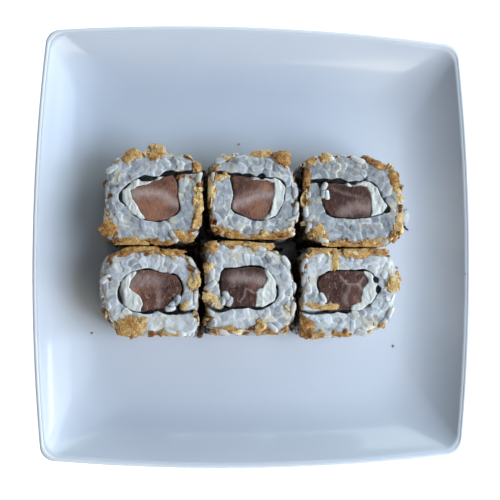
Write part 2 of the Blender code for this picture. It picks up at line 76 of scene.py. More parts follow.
# cell: the box that keeps a slice clear of its neighbours. rim: its outline with the crust,
# clockwise. filling: the nori's loop. tail: where the sheet comes in from outside. crust: how
# much onion there is at each point of the rim, 0 to 1.
slices = {
    1: {
        "centre": (-42.5, 18.0),
        "cell": ((-23.5, -19.3), (20.4, 23.0)),
        "rim": (
            (-18.5, 7.2), (-16.2, 13.0), (-10.6, 16.7), (1.0, 17.9), (11.8, 16.8), (17.6, 13.0),
            (18.6, 4.5), (18.5, -8.3), (16.0, -16.2), (6.2, -18.3), (-5.4, -19.0),
            (-15.1, -18.2), (-18.8, -11.8), (-18.7, -1.1),
        ),
        "filling": (
            (7.0, 9.0), (0.0, 7.4), (-6.5, 6.6), (-11.0, 4.0), (-13.0, -0.5), (-10.5, -5.0),
            (-6.5, -8.5), (-0.5, -10.0), (5.0, -9.3), (10.0, -5.5), (9.4, -0.5), (9.2, 5.0),
        ),
        "tail": ((17.2, 10.0), (12.8, 9.7)),
        "crust": (0.1, 0.15, 0.5, 0.6, 0.5, 0.8, 0.9, 0.95, 0.7, 0.6, 0.6, 0.9, 0.95, 0.5),
    },
    2: {
        "centre": (-3.4, 18.9),
        "cell": ((-18.3, -17.4), (18.3, 22.1)),
        "rim": (
            (-16.6, 9.6), (-13.4, 15.1), (-3.5, 17.5), (3.5, 17.2), (11.6, 16.0), (16.4, 10.3),
            (17.9, 1.3), (17.8, -10.7), (14.6, -16.0), (4.6, -17.3), (-7.3, -17.1),
            (-15.3, -14.6), (-17.8, -8.2), (-17.8, 1.7),
        ),
        "filling": (
            (-8.6, 8.0), (-1.0, 7.8), (5.5, 7.4), (11.0, 6.4), (13.0, 2.5), (12.0, -3.0),
            (9.0, -8.2), (3.0, -10.0), (-3.0, -8.8), (-8.6, -5.7), (-8.2, 0.0), (-8.9, 5.0),
        ),
        "tail": ((-15.8, 8.8), (-12.4, 8.9)),
        "crust": (0.6, 0.7, 0.3, 0.5, 0.9, 0.6, 0.5, 0.5, 0.8, 0.7, 0.8, 0.8, 0.4, 0.9),
    },
    3: {
        "centre": (36.6, 17.8),
        "cell": ((-21.2, -18.9), (24.4, 23.2)),
        "rim": (
            (-19.8, 14.1), (-13.3, 17.9), (-3.0, 18.4), (7.2, 17.3), (15.5, 14.7), (19.8, 9.3),
            (20.6, -0.9), (19.7, -12.0), (16.4, -17.1), (5.1, -18.4), (-8.2, -18.2),
            (-17.1, -15.5), (-20.1, -6.5), (-19.9, 4.5),
        ),
        "filling": (
            (-13.5, 7.6), (-7.5, 7.6), (-0.5, 6.9), (5.0, 7.9), (9.4, 6.2), (12.6, 0.6),
            (14.8, -3.6), (8.0, -6.8), (-1.0, -7.4), (-9.3, -6.4), (-12.4, -1.5), (-13.2, 4.0),
        ),
        "tail": ((-18.8, 6.6), (-16.4, 7.3)),
        "crust": (0.7, 0.7, 0.2, 0.8, 0.9, 0.9, 0.5, 0.9, 0.8, 0.8, 0.9, 1.0, 1.0, 0.8),
    },
    4: {
        "centre": (-43.6, -19.4),
        "cell": ((-22.4, -21.6), (19.7, 17.7)),
        "rim": (
            (-18.9, 8.9), (-15.9, 14.5), (-9.1, 16.7), (1.5, 16.7), (11.3, 15.4), (17.0, 11.9),
            (18.6, 4.3), (18.8, -5.4), (19.3, -14.2), (15.4, -17.3), (3.7, -16.8), (-7.8, -16.9),
            (-16.0, -11.9), (-19.1, -1.7),
        ),
        "filling": (
            (10.0, -7.8), (3.5, -7.0), (-3.0, -8.2), (-9.0, -6.8), (-12.2, -2.0), (-11.5, 4.0),
            (-7.5, 7.6), (-1.5, 9.0), (3.5, 7.8), (10.0, 6.6), (12.5, 1.5), (11.0, -3.5),
        ),
        "tail": ((17.6, -7.0), (14.0, -7.8)),
        "crust": (0.2, 0.7, 0.9, 0.6, 0.5, 0.6, 0.7, 0.3, 0.1, 0.2, 0.5, 0.7, 0.6, 0.15),
    },
    5: {
        "centre": (-4.7, -17.4),
        "cell": ((-18.9, -23.6), (18.9, 18.3)),
        "rim": (
            (-17.8, 13.1), (-13.9, 17.7), (-4.0, 18.0), (5.9, 16.3), (14.4, 12.1), (17.8, 4.6),
            (18.4, -6.3), (16.5, -15.7), (9.0, -18.3), (-3.9, -18.5), (-15.5, -18.0),
            (-18.1, -9.4), (-18.2, 1.4),
        ),
        "filling": (
            (-8.6, -8.3), (-3.0, -7.7), (2.5, -8.5), (7.2, -7.2), (11.0, -3.5), (10.2, 3.0),
            (7.0, 7.0), (1.5, 8.6), (-5.0, 7.6), (-11.0, 6.8), (-11.9, 1.0), (-11.0, -4.4),
        ),
        "tail": ((-17.0, -7.2), (-12.8, -9.2)),
        "crust": (0.7, 0.6, 0.6, 0.5, 0.3, 0.3, 0.4, 0.4, 0.4, 0.6, 0.8, 0.6, 0.35),
    },
    6: {
        "centre": (36.0, -19.2),
        "cell": ((-20.8, -21.8), (25.0, 17.7)),
        "rim": (
            (-20.3, 11.3), (-16.5, 16.1), (-6.6, 17.4), (5.7, 17.4), (15.9, 15.7), (19.6, 8.7),
            (18.7, -3.3), (14.8, -12.3), (5.6, -16.9), (-5.6, -17.9), (-15.7, -17.7),
            (-20.7, -13.4), (-21.1, -3.5), (-20.3, 3.4),
        ),
        "filling": (
            (-9.8, -7.6), (-2.5, -7.4), (4.5, -7.0), (8.5, -4.0), (11.2, 1.0), (9.6, 6.4),
            (5.5, 8.8), (-2.5, 8.7), (-9.5, 8.2), (-13.6, 4.6), (-13.0, 0.5), (-11.0, -4.0),
        ),
        "tail": ((-19.8, -7.6), (-15.0, -8.2)),
        "crust": (0.9, 0.9, 0.8, 0.8, 0.3, 0.7, 0.2, 0.2, 0.4, 0.5, 0.8, 1.0, 0.9, 0.8),
    },
}


# numbers on grids
def hashedCell(cell, seed):
    # a fixed number from 0 to 1 for each whole-number cell: its coordinates times large
    # primes, mixed by shifts
    h = cell[..., 0] * 374761393 + cell[..., 1] * 668265263 + cell[..., 2] * 974711 + seed * 15731
    h = ((h ^ (h >> 13)) * 1274126177) & 0x7FFFFFFF
    return ((h ^ (h >> 15)) & 0xFFFF) / 65535


def noiseAt(points, size, seed=0):
    # value noise from -1 to 1: each cube of that size has a random number at its corners,
    # blended along each axis by 3t^2 - 2t^3
    place = points / size
    base = np.floor(place).astype(np.int64)
    t = place - base
    t = t * t * (3 - 2 * t)
    total = 0.0
    for corner in np.ndindex(2, 2, 2):
        weight = np.prod(np.where(np.array(corner) == 1, t, 1 - t), axis=-1)
        total = total + weight * hashedCell(base + np.array(corner), seed)
    return total * 2 - 1


def lifted(flat, height):
    # points of a plane as points in space, all at one height
    return np.column_stack([flat, np.full(len(flat), float(height))])


def layered(points, layers):
    # a sum of noises: each layer gives its size, its seed and its height
    return sum(height * noiseAt(points, size, seed) for size, seed, height in layers)


def curveThrough(knots, count, closed=True):
    # Catmull-Rom curve through the knots, in 16 steps a span, read at even steps of its length
    knots = np.array(knots, float)
    spans = len(knots) if closed else len(knots) - 1
    index = np.arange(spans)[:, None] + np.arange(-1, 3)
    index = index % len(knots) if closed else np.clip(index, 0, len(knots) - 1)
    before, start, end, after = (knots[index[:, k]][:, None, :] for k in range(4))
    t = (np.arange(16) / 16)[None, :, None]
    line = 0.5 * (
        2 * start + (end - before) * t + (2 * before - 5 * start + 4 * end - after) * t**2
        + (3 * start - before - 3 * end + after) * t**3
    )
    line = np.vstack([line.reshape(-1, 2), knots[:1] if closed else knots[-1:]])
    return evenly(line, count, closed)


def evenly(line, count, closed):
    # points at even steps along a line of many points
    walked = np.concatenate([[0], np.cumsum(np.hypot(*np.diff(line, axis=0).T))])
    wanted = np.linspace(0, walked[-1], count + 1 if closed else count)[:count]
    return np.stack([np.interp(wanted, walked, line[:, k]) for k in (0, 1)], axis=1)


def outwards(outline):
    # unit normals of a closed outline that point away from its inside
    along = np.roll(outline, -1, axis=0) - np.roll(outline, 1, axis=0)
    along = along / np.hypot(*along.T)[:, None]
    x, y = outline.T
    turning = np.sign(np.sum(x * np.roll(y, -1) - np.roll(x, -1) * y))
    return np.stack([along[:, 1], -along[:, 0]], axis=1) * turning


def distanceTo(points, line, closed=True):
    # how far each point is from the nearest stretch of a line, and where along it (0 to 1)
    start = line if closed else line[:-1]
    end = np.roll(line, -1, axis=0) if closed else line[1:]
    way = end - start
    away = points[:, None, :] - start
    t = np.clip(np.sum(away * way, axis=2) / np.sum(way * way, axis=1), 0, 1)
    gap = np.linalg.norm(away - way * t[:, :, None], axis=2)
    nearest = gap.argmin(axis=1)
    row = np.arange(len(points))
    return gap[row, nearest], (nearest + t[row, nearest]) / len(start)


def isInside(points, outline):
    # even-odd rule: a point is inside if a ray to +X crosses the outline an odd number of times
    x, y = points[:, :1], points[:, 1:]
    ax, ay = outline.T
    bx, by = np.roll(outline, -1, axis=0).T
    spans = (ay > y) != (by > y)
    rise = np.where(by == ay, 1e-9, by - ay)
    return (np.sum(spans & (x < ax + (y - ay) * (bx - ax) / rise), axis=1) % 2) == 1


def depthIn(points, outline):
    # distance from the outline, positive inside it and negative outside
    return distanceTo(points, outline)[0] * np.where(isInside(points, outline), 1, -1)


def gridFaces(rows, columns, wrapRows=False, wrapColumns=True):
    # quads of a grid of points that is numbered row by row
    i = np.arange(rows if wrapRows else rows - 1)[:, None]
    j = np.arange(columns if wrapColumns else columns - 1)[None, :]
    below, beside = (i + 1) % rows, (j + 1) % columns
    corners = [i * columns + j, i * columns + beside, below * columns + beside, below * columns + j]
    return np.stack(np.broadcast_arrays(*corners), axis=-1).reshape(-1, 4)


def turnsFrom(yaw, pitch, roll):
    # one rotation matrix for each triple of angles: roll about X, then pitch about Y, then yaw
    # about Z
    cy, cp, cr = np.cos(yaw), np.cos(pitch), np.cos(roll)
    sy, sp, sr = np.sin(yaw), np.sin(pitch), np.sin(roll)
    return np.stack([
        np.stack([cy * cp, cy * sp * sr - sy * cr, cy * sp * cr + sy * sr], axis=-1),
        np.stack([sy * cp, sy * sp * sr + cy * cr, sy * sp * cr - cy * sr], axis=-1),
        np.stack([-sp, cp * sr, cp * cr], axis=-1),
    ], axis=-2)


def pieceFrom(name, points, faceSets, material, replaced=(), attributes=None, sharp=None):
    # a mesh piece from points in millimetres and arrays of corner numbers, on the root body
    mesh = bpy.data.meshes.new(name)
    corners = np.concatenate([np.ravel(faces) for faces in faceSets]).astype(np.int32)
    sizes = np.concatenate([np.full(len(faces), faces.shape[1]) for faces in faceSets])
    starts = (np.cumsum(sizes) - sizes).astype(np.int32)
    mesh.vertices.add(len(points))
    mesh.vertices.foreach_set("co", np.ascontiguousarray(points * mm, np.float32).ravel())
    mesh.loops.add(len(corners))
    mesh.loops.foreach_set("vertex_index", corners)
    mesh.polygons.add(len(sizes))
    mesh.polygons.foreach_set("loop_start", starts)
    mesh.update(calc_edges=True)
    for key, values in (attributes or {}).items():
        mesh.attributes.new(key, "FLOAT", "POINT").data.foreach_set("value", values.astype(np.float32))
    mesh.shade_smooth()
    if sharp:
        mesh.set_sharp_from_angle(angle=math.radians(sharp))
    piece = bpy.data.objects.new(name, mesh)
    piece.data.materials.append(material)
    bpy.context.scene.collection.objects.link(piece)
    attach(piece, "root")
    if replaced:
        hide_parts(*replaced)
    return piece


# shader expressions
class Sock:
    # a node's output in an expression: each operator adds a Math node
    def __init__(self, paint, output):
        self.paint, self.output = paint, output

    def math(self, operation, first, second):
        return self.paint.add("ShaderNodeMath", {"operation": operation}, {0: first, 1: second})

    def __add__(self, other):
        return self.math("ADD", self, other)

    def __radd__(self, other):
        return self.math("ADD", other, self)

    def __sub__(self, other):
        return self.math("SUBTRACT", self, other)

    def __rsub__(self, other):
        return self.math("SUBTRACT", other, self)

    def __mul__(self, other):
        return self.math("MULTIPLY", self, other)

    def __rmul__(self, other):
        return self.math("MULTIPLY", other, self)

    def __truediv__(self, other):
        return self.math("DIVIDE", self, other)

    def clamped(self):
        # kept between 0 and 1
        return self.math("MINIMUM", self.math("MAXIMUM", self, 0.0), 1.0)


class Paint:
    # a material under construction, with its Principled shader
    def __init__(self, name, **constants):
        self.material = bpy.data.materials.new(name)
        self.material.use_nodes = True
        self.tree = self.material.node_tree
        self.shader = self.tree.nodes["Principled BSDF"]
        for key, value in constants.items():
            self.shader.inputs[key.replace("_", " ")].default_value = value

    def feed(self, socket, value):
        # a link from an expression, or else a plain value
        if isinstance(value, Sock):
            self.tree.links.new(value.output, socket)
        else:
            socket.default_value = value

    def add(self, kind, settings=None, sockets=None, out=0):
        # any node: its settings first, then the values or links of its sockets
        node = self.tree.nodes.new(kind)
        for key, value in (settings or {}).items():
            if key == "stops":
                ramp = node.color_ramp
                while len(ramp.elements) < len(value):
                    ramp.elements.new(0.5)
                for element, (position, colour) in zip(ramp.elements, value):
                    element.position, element.color = position, (*colour, 1.0)
            else:
                setattr(node, key, value)
        for key, value in (sockets or {}).items():
            self.feed(node.inputs[key], value)
        return Sock(self, node.outputs[out])

    def set(self, **inputs):
        # inputs of the Principled shader, with _ for a blank
        for key, value in inputs.items():
            self.feed(self.shader.inputs[key.replace("_", " ")], value)

    def here(self):
        return self.add("ShaderNodeTexCoord", out="Object")

    def attribute(self, name):
        return self.add("ShaderNodeAttribute", {"attribute_name": name}, out="Fac")

    def stretched(self, scale, turn=(0.0, 0.0, 0.0)):
        # object coordinates in metres, turned and then multiplied by a scale for each axis
        turned = self.add("ShaderNodeMapping", {}, {"Vector": self.here(), "Rotation": turn})
        return self.add("ShaderNodeVectorMath", {"operation": "MULTIPLY"}, {0: turned, 1: scale})

    def noise(self, size, detail=3.0, rough=0.5, vector=None):
        # grain of about that size in millimetres
        sockets = {"Scale": 1 / (size * mm), "Detail": detail, "Roughness": rough}
        sockets["Vector"] = vector or self.here()
        return self.add("ShaderNodeTexNoise", {}, sockets)

    def ramp(self, factor, stops):
        return self.add("ShaderNodeValToRGB", {"stops": stops}, {"Fac": factor})

    def mixed(self, factor, first, second):
        # the first colour at factor 0 and the second at 1
        sockets = {0: factor, 6: withAlpha(first), 7: withAlpha(second)}
        return self.add("ShaderNodeMix", {"data_type": "RGBA"}, sockets, out=2)

    def bump(self, height, depth):
        # depth in millimetres for a height of 1
        return self.add("ShaderNodeBump", {}, {"Height": height, "Distance": depth * mm})


def withAlpha(value):
    # three numbers get a full alpha, anything else stays
    return (*value, 1.0) if isinstance(value, tuple) and len(value) == 3 else value


def asColour(red, green, blue):
    # an sRGB colour of 0 to 255 as the linear one that a shader takes
    share = np.array([red, green, blue]) / 255
    linear = np.where(share < 0.04045, share / 12.92, ((share + 0.055) / 1.055) ** 2.4)
    return tuple(float(v) for v in linear)


def asStops(*stops):
    # a ramp's stops from places and sRGB colours
    return [(place, asColour(*colour)) for place, colour in stops]


# plate
def plateOutline(inset, sideSteps=28, cornerSteps=14):
    # the outline at each inset: four arcs for sides, each pair joined by a round corner that
    # touches both; radii follow from the side's bulge and from the corner's growth
    look = plateLook
    inset = np.asarray(inset, float)[:, None]
    half = look["half"] - inset
    bulge = look["bulge"] * half / look["half"]
    corner = look["rimCorner"] + look["cornerGrowth"] * inset
    sideRadius = ((half - bulge) ** 2 + bulge**2) / (2 * bulge)
    sideCentre = half - sideRadius
    reach = sideRadius - corner
    fillet = (sideCentre + np.sqrt(2 * reach**2 - sideCentre**2)) / 2
    meet = np.arctan2(fillet, fillet - sideCentre)
    a = meet * (2 * np.arange(sideSteps + 1) / sideSteps - 1)
    side = np.stack([sideRadius * np.sin(a), sideCentre + sideRadius * np.cos(a)], axis=-1)
    b = meet + (math.pi / 2 - 2 * meet) * np.arange(1, cornerSteps) / cornerSteps
    turn = np.stack([fillet + corner * np.sin(b), fillet + corner * np.cos(b)], axis=-1)
    quarter = np.concatenate([side, turn], axis=1)
    x, y = quarter[..., 0], quarter[..., 1]
    quarters = [np.stack(pair, axis=-1) for pair in ((x, y), (y, -x), (-x, -y), (-y, x))]
    return np.concatenate(quarters, axis=1)


def wallHeight(inset):
    # flat floor, then a power of the way out to the rim
    look = plateLook
    climb = np.clip(1 - np.asarray(inset, float) / look["wallRun"], 0, 1) ** look["wallCurve"]
    return look["floor"] + (look["height"] - look["floor"]) * climb


def plateProfile():
    # (inset, height) from the middle of the floor up over the round lip and down to the foot
    look = plateLook
    half, lip, top = look["half"], look["lip"] / 2, look["height"]
    run, foot, under = look["wallRun"], look["footInset"], look["footHeight"]
    floor = [(inset, look["floor"]) for inset in np.linspace(half - 1, run + 2, 22)]
    wall = [(inset, float(wallHeight(inset - lip))) for inset in np.linspace(run, lip * 1.25, 26)]
    drop = look["lipDrop"]
    lipArc = [
        (lip * (1 + 0.98 * math.cos(a)) * 0.62, top - drop + drop * math.sin(a))
        for a in np.linspace(0.35, math.pi - 0.05, 9)
    ]
    edge = [(0.0, top - 1.5), (0.25, top - 2.6)]
    outside = [
        (inset, float(wallHeight(inset - lip)) - look["wallThickness"])
        for inset in np.linspace(look["undercut"], foot - 0.5, 26)
    ]
    ring = [(foot, look["floor"] - look["wallThickness"] - 0.25)]
    ring += [(foot + further, height) for further, height in look["footOuter"]]
    ring += [(foot + look["footWidth"] + further, height) for further, height in look["footInner"]]
    below = [(inset, under) for inset in np.linspace(foot + 9, half - 1, 14)]
    return np.array(floor + wall + lipArc + edge + outside + ring + below)


def makePlate(material):
    # the outline at each step of the profile, closed by a fan at each end; further in than
    # innerInset it is the outline there, only smaller. A slow noise makes it uneven, but for
    # the foot and the lip.
    inset, height = plateProfile().T
    shaped = np.minimum(inset, plateLook["innerInset"])
    shrink = (plateLook["half"] - inset) / (plateLook["half"] - shaped)
    loops = plateOutline(shaped) * shrink[:, None, None]
    rows, columns = loops.shape[:2]
    z = np.broadcast_to(height[:, None], (rows, columns))
    points = np.concatenate([loops, z[..., None]], axis=2).reshape(-1, 3)
    broad, small = plateLook["handWaves"]
    hand = layered(points * (1, 1, 0.3), [broad]) + layered(points, [small])
    free = np.clip((points[:, 2] - 2.0) / 3, 0, 1) * np.clip((21.6 - points[:, 2]) / 2, 0, 1)
    points[:, 2] += plateLook["unevenness"] * (hand - 0.6) * free
    ends = np.array([[0, 0, plateLook["floor"]], [0, 0, plateLook["footHeight"]]])
    middle = rows * columns
    j = np.arange(columns)
    k = (j + 1) % columns
    lastRow = middle - columns
    caps = np.concatenate([
        np.stack([np.full(columns, middle), k, j], axis=1),
        np.stack([np.full(columns, middle + 1), lastRow + j, lastRow + k], axis=1),
    ])
    pieceFrom(
        "plateGlazed", np.vstack([points, ends]), [gridFaces(rows, columns)[:, ::-1], caps],
        material, ["plate"],
    )


# slices
def outlineOf(number, key, count):
    # a slice's rim or filling as that many points at even steps
    return curveThrough(slices[number][key], count)


def nearTail(number, points):
    # distance of points from the sheet's tail, from outside the slice in to the loop
    tail = slices[number]["tail"]
    far = np.array(tail[0]) * 2 - np.array(tail[1])
    knots = (tuple(far), *tail, slices[number]["filling"][0])
    line = curveThrough(knots, 24, closed=False)
    return distanceTo(points, line, closed=False)[0]


def capOutline(node):
    # the outline of a solid's top, read from the frame: the edges that only one of the flat
    # top's triangles has, chained into a loop
    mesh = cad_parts[node].data
    mesh.calc_loop_triangles()
    corners = np.zeros(len(mesh.loop_triangles) * 3, np.int32)
    mesh.loop_triangles.foreach_get("vertices", corners)
    places = np.zeros(len(mesh.vertices) * 3, np.float32)
    mesh.vertices.foreach_get("co", places)
    places = places.reshape(-1, 3) / mm
    triangles = corners.reshape(-1, 3)
    flat = np.all(places[triangles][:, :, 2] > places[:, 2].max() - 0.02, axis=1)
    keys = [tuple(np.round(p, 3)) for p in places[:, :2]]
    pairs = triangles[flat][:, [0, 1, 1, 2, 2, 0]].reshape(-1, 2)
    seen = {(keys[a], keys[b]) for a, b in pairs}
    follows = {a: b for a, b in seen if (b, a) not in seen}
    start = min(follows)
    chain = [start]
    while follows[chain[-1]] != start and len(chain) < len(follows):
        chain.append(follows[chain[-1]])
    return np.array(chain, float)


def wavering(outline, grown, waver, seed):
    # an outline read at even steps, moved outwards by a width that wavers along it
    ring = evenly(np.vstack([outline, outline[:1]]), 220, closed=True)
    wave = noiseAt(lifted(ring, seed * 3), 1.7, seed)
    return ring + outwards(ring) * (grown + waver * wave)[:, None]


def filled(flat, ringCount):
    # triangles over points whose first ones are the outline, all turned the same way
    made = delaunay_2d_cdt([Vector(p) for p in flat], [], [list(range(ringCount))], 1, 1e-5)
    points = np.array([tuple(p) for p in made[0]])
    triangles = np.array([face for face in made[2] if len(face) == 3])
    a, b, c = (points[triangles[:, k]] for k in range(3))
    turned = np.cross(b - a, c - a) < 0
    triangles[turned] = triangles[turned][:, ::-1]
    return points, triangles


def slabOn(outline, spacing, topAt, edge, drift):
    # a slab with a rounded upper edge: lattice points inside the outline and on rings just
    # within it are joined by triangles, lifted by topAt less a quarter round of that radius,
    # and the outline is carried straight down to the bottom in levels, drifting a little
    levels = 4
    ringShares = (0.12, 0.38, 0.8)  # of the rounded edge
    length = np.sum(np.hypot(*(np.roll(outline, -1, axis=0) - outline).T))
    ring = evenly(np.vstack([outline, outline[:1]]), int(length / (spacing * 0.8)), closed=True)
    inward = -outwards(ring)
    kept = []
    for share in ringShares:
        inner = ring + inward * edge * share
        kept.append(inner[depthIn(inner, ring) > edge * share * 0.93])
    low, high = ring.min(axis=0), ring.max(axis=0)
    up = np.arange(low[1], high[1], spacing * 0.866)
    x, y = np.meshgrid(np.arange(low[0], high[0], spacing), up)
    x = x + (np.arange(len(up)) % 2)[:, None] * spacing / 2
    lattice = np.stack([x.ravel(), y.ravel()], axis=1)
    lattice = lattice[depthIn(lattice, ring) > edge * ringShares[-1] + spacing * 0.4]
    points, triangles = filled(np.vstack([ring, *kept, lattice]), len(ring))
    depth = np.clip(distanceTo(points, ring)[0], 0, edge)
    top = topAt(points) - (edge - np.sqrt(np.clip(edge**2 - (edge - depth) ** 2, 0, None)))

    # the edges that only one triangle has, in that triangle's direction
    directed = triangles[:, [0, 1, 1, 2, 2, 0]].reshape(-1, 2)
    found, times = np.unique(np.sort(directed, axis=1), axis=0, return_counts=True)
    border = {tuple(side) for side in found[times == 1]}
    edges = np.array([side for side in directed if tuple(sorted(side)) in border])
    rim = np.unique(edges)
    count = len(rim)
    place = np.full(len(points), -1)
    place[rim] = np.arange(count)
    walls, faces, over = [], [triangles], rim
    for level in range(1, levels + 1):
        share = level / levels
        shift = noiseAt(lifted(points[rim], share * 9), 3.0, 8) * drift * (level < levels)
        walls.append(np.column_stack([points[rim] + shift[:, None], top[rim] * (1 - share)]))
        under = len(points) + (level - 1) * count + np.arange(count)
        start, end = place[edges[:, 0]], place[edges[:, 1]]
        faces.append(np.stack([over[end], over[start], under[start], under[end]], axis=1))
        over = under
    follows = dict(edges.tolist())
    chain = [int(edges[0, 0])]
    while follows[chain[-1]] != chain[0]:
        chain.append(follows[chain[-1]])
    bottom = over[place[np.array(chain)]]
    faces.append(bottom[filled(points[chain], len(chain))[1]][:, ::-1])
    return np.vstack([np.column_stack([points, top]), *walls]), faces


# grains and chips
def blobGrid(count, rings, around):
    # corner numbers of many blobs: rings of points round an axis, closed by a point at each end
    each = rings * around + 2
    quads = gridFaces(rings, around)
    j = np.arange(around)
    k = (j + 1) % around
    low = np.stack([np.full(around, each - 2), k, j], axis=1)
    lastRing = (rings - 1) * around
    high = np.stack([np.full(around, each - 1), lastRing + j, lastRing + k], axis=1)
    shift = np.arange(count)[:, None, None] * each
    ends = np.vstack([low, high])
    return [(quads[None] + shift).reshape(-1, 4), (ends[None] + shift).reshape(-1, 3)]


def blobShape(rings, around, blunt):
    # unit blob: stations u along X at sines of even angles, radius (1 - |u|^blunt)^(1/blunt)
    u = np.sin((np.arange(1, rings + 1) / (rings + 1) - 0.5) * math.pi)
    v = np.arange(around) / around * 2 * math.pi
    radius = (1 - np.abs(u) ** blunt) ** (1 / blunt)
    body = np.stack(np.broadcast_arrays(
        u[:, None], radius[:, None] * np.cos(v), radius[:, None] * np.sin(v)), axis=-1)
    return np.vstack([body.reshape(-1, 3), [[-1, 0, 0], [1, 0, 0]]])


def settle(start, halfLength, radius, heading, confine, wrap=0.0):
    # grains as short rods of three discs that push each other apart and turn, while confine
    # moves each disc back into the region; along X the region may wrap round
    rounds, fresh, meeting = 64, 8, 9.0  # neighbours within 9 mm are looked up every 8 rounds
    pushShare, confineShare, mostTurn = 0.22, 0.6, 0.3
    centre, angle = start.copy(), heading.copy()
    count = len(centre)
    offsets = np.array([-1.0, 0.0, 1.0])
    reach = np.repeat(radius, 3)

    def between(one, other):
        # from each of one to each of the other, the shorter way round
        away = one - other
        if wrap:
            away[:, 0] -= wrap * np.round(away[:, 0] / wrap)
        return away, np.sqrt(np.sum(away * away, axis=1)) + 1e-6

    for step in range(rounds):
        way = np.stack([np.cos(angle), np.sin(angle)], axis=1)
        arm = (way[:, None, :] * offsets[None, :, None] * halfLength[:, None, None]).reshape(-1, 2)
        discs = np.repeat(centre, 3, axis=0) + arm
        if step % fresh == 0:
            one, other = np.nonzero(~np.eye(count, dtype=bool))
            close = between(centre[one], centre[other])[1] < meeting
            one, other = one[close] * 3, other[close] * 3
            three = np.arange(3)
            pairs = (len(one), 3, 3)
            first = np.broadcast_to(one[:, None, None] + three[:, None], pairs).ravel()
            second = np.broadcast_to(other[:, None, None] + three, pairs).ravel()
        away, gap = between(discs[first], discs[second])
        push = np.clip(reach[first] + reach[second] - gap, 0, None) * pushShare / gap
        force = np.stack([np.bincount(first, away[:, k] * push, 3 * count) for k in (0, 1)], axis=1)
        force = force + (confine(discs) - discs) * confineShare
        centre = centre + force.reshape(-1, 3, 2).mean(axis=1)
        twist = (arm[:, 0] * force[:, 1] - arm[:, 1] * force[:, 0]).reshape(-1, 3).sum(axis=1)
        angle = angle + np.clip(twist / (2 * halfLength**2 + 0.5), -mostTurn, mostTurn)
    return centre, angle


riceLook = {
    "length": (4.8, 7.1),  # of a cooked grain
    "width": (2.6, 3.9),
    "thickness": (2.3, 2.9),
    "blunt": 2.9,
    "rings": 6,
    "around": 8,
    "pressed": 0.80,  # how near grains lie, as a share of their width
    "inset": 1.5,  # from the rim to the grains' middles
    "fillingClear": 1.45,  # from the filling to a cut grain's middle
    "cutGrains": 100,  # most that the knife's cut goes through
    "spokes": 320,  # points round the core
    "cutRings": 38,  # points across its cut
    "wallOut": -0.04,  # the filling's wall, outwards from the nori's loop
    "wallWaves": ((1.8, 51, 3.0, 0.30), (6.0, 57, 5.0, 0.5)),  # size, seed, shift a slice, height
    "blackHollowRoom": 1.3,  # room in the wall for the nori where it is widened as painted shade
    "coreInset": 1.0,
    "shoulder": 1.7,
    "innerRound": 0.4,
    "unevenCut": 0.22,
    "lean": 0.12,  # how far a grain's cut face tilts
    "seamDepth": (0.0, 0.26),
    "seamWidth": 0.26,
    "hole": 2.2,  # depth where no grain is near
    "sag": 0.15,  # a cut face is lower towards its border
    "cutWaves": ((1.2, 52, 0.10), (3.6, 53, 0.26)),  # size, seed, height
    "tailGroove": 2.2,
    "sideLumps": 0.3,
    "sideTone": 0.42,
    "toneSpread": 0.15,
    "tonePatches": ((3.2, 56, 0.17), (9.0, 58, 0.14)),  # size, seed, strength
    "heart": 0.20,  # how much darker a cut grain is in its middle
    "proudGrains": 8,  # whole ones that stand out of the cut
    "proudLength": (4.6, 6.6),
    "proudWidth": (2.5, 3.1),
    "proudThickness": 2.3,
    "proudSunk": 0.65,
    "straySunk": 0.3,
    "sideGrains": 240,
    "sideHeights": (1.4, 2.2),  # least room to the bottom and to the top
    "shadeTop": 0.8,  # the painted shade between two slices starts this far below the cut
    "shadeFade": 2.6,
    "shadeReach": 5.5,
    "stainReach": 3.2,
    # how pale each slice's rice is: partly its own tone, partly painted light making the lower row paler
    "paleAndLit": {1: 0.38, 2: 0.36, 3: 0.20, 4: 0.50, 5: 0.52, 6: 0.58},  # partly painted light
    # loose grains that lie in the filling: x, y, turn in degrees, length
    "strays": {
        3: ((-11.6, 4.9, 60, 4.6), (-10.4, 1.9, 100, 4.0), (-11.9, 2.2, 80, 3.6)),
        4: ((8.6, -4.9, 40, 5.2), (10.2, -3.4, 60, 4.6), (7.6, -6.4, 10, 4.6)),
        5: ((-9.4, -3.6, 110, 4.6), (-8.2, -5.6, 70, 4.4), (-10.4, -5.4, 80, 4.0)),
        6: ((-11.4, -2.2, 120, 4.8),),
    },
}


def grainCloud(centre, yaw, pitch, size, seed):
    # many grains: the unit blob scaled to each grain's length, width and thickness, dented by
    # noise, bent by a parabola, turned and set in place
    look = riceLook
    dents, bend, mostRoll = 0.09, 0.35, 0.35
    unit = blobShape(look["rings"], look["around"], look["blunt"])
    draw = np.random.default_rng(seed)
    count = len(centre)
    shape = unit[None] * size[:, None, :] / 2
    somewhere = unit[None] * 1.3 + draw.uniform(0, 99, (count, 1, 3))
    shape[..., 1:] *= (1 + dents * noiseAt(somewhere, 1.0, seed))[..., None]
    shape[..., 2] += draw.normal(0, bend, count)[:, None] * (unit[None, :, 0] ** 2 - 0.4)
    roll = draw.uniform(0, math.pi, count) * mostRoll
    return np.einsum("nij,nkj->nki", turnsFrom(yaw, pitch, roll), shape) + centre[:, None, :]


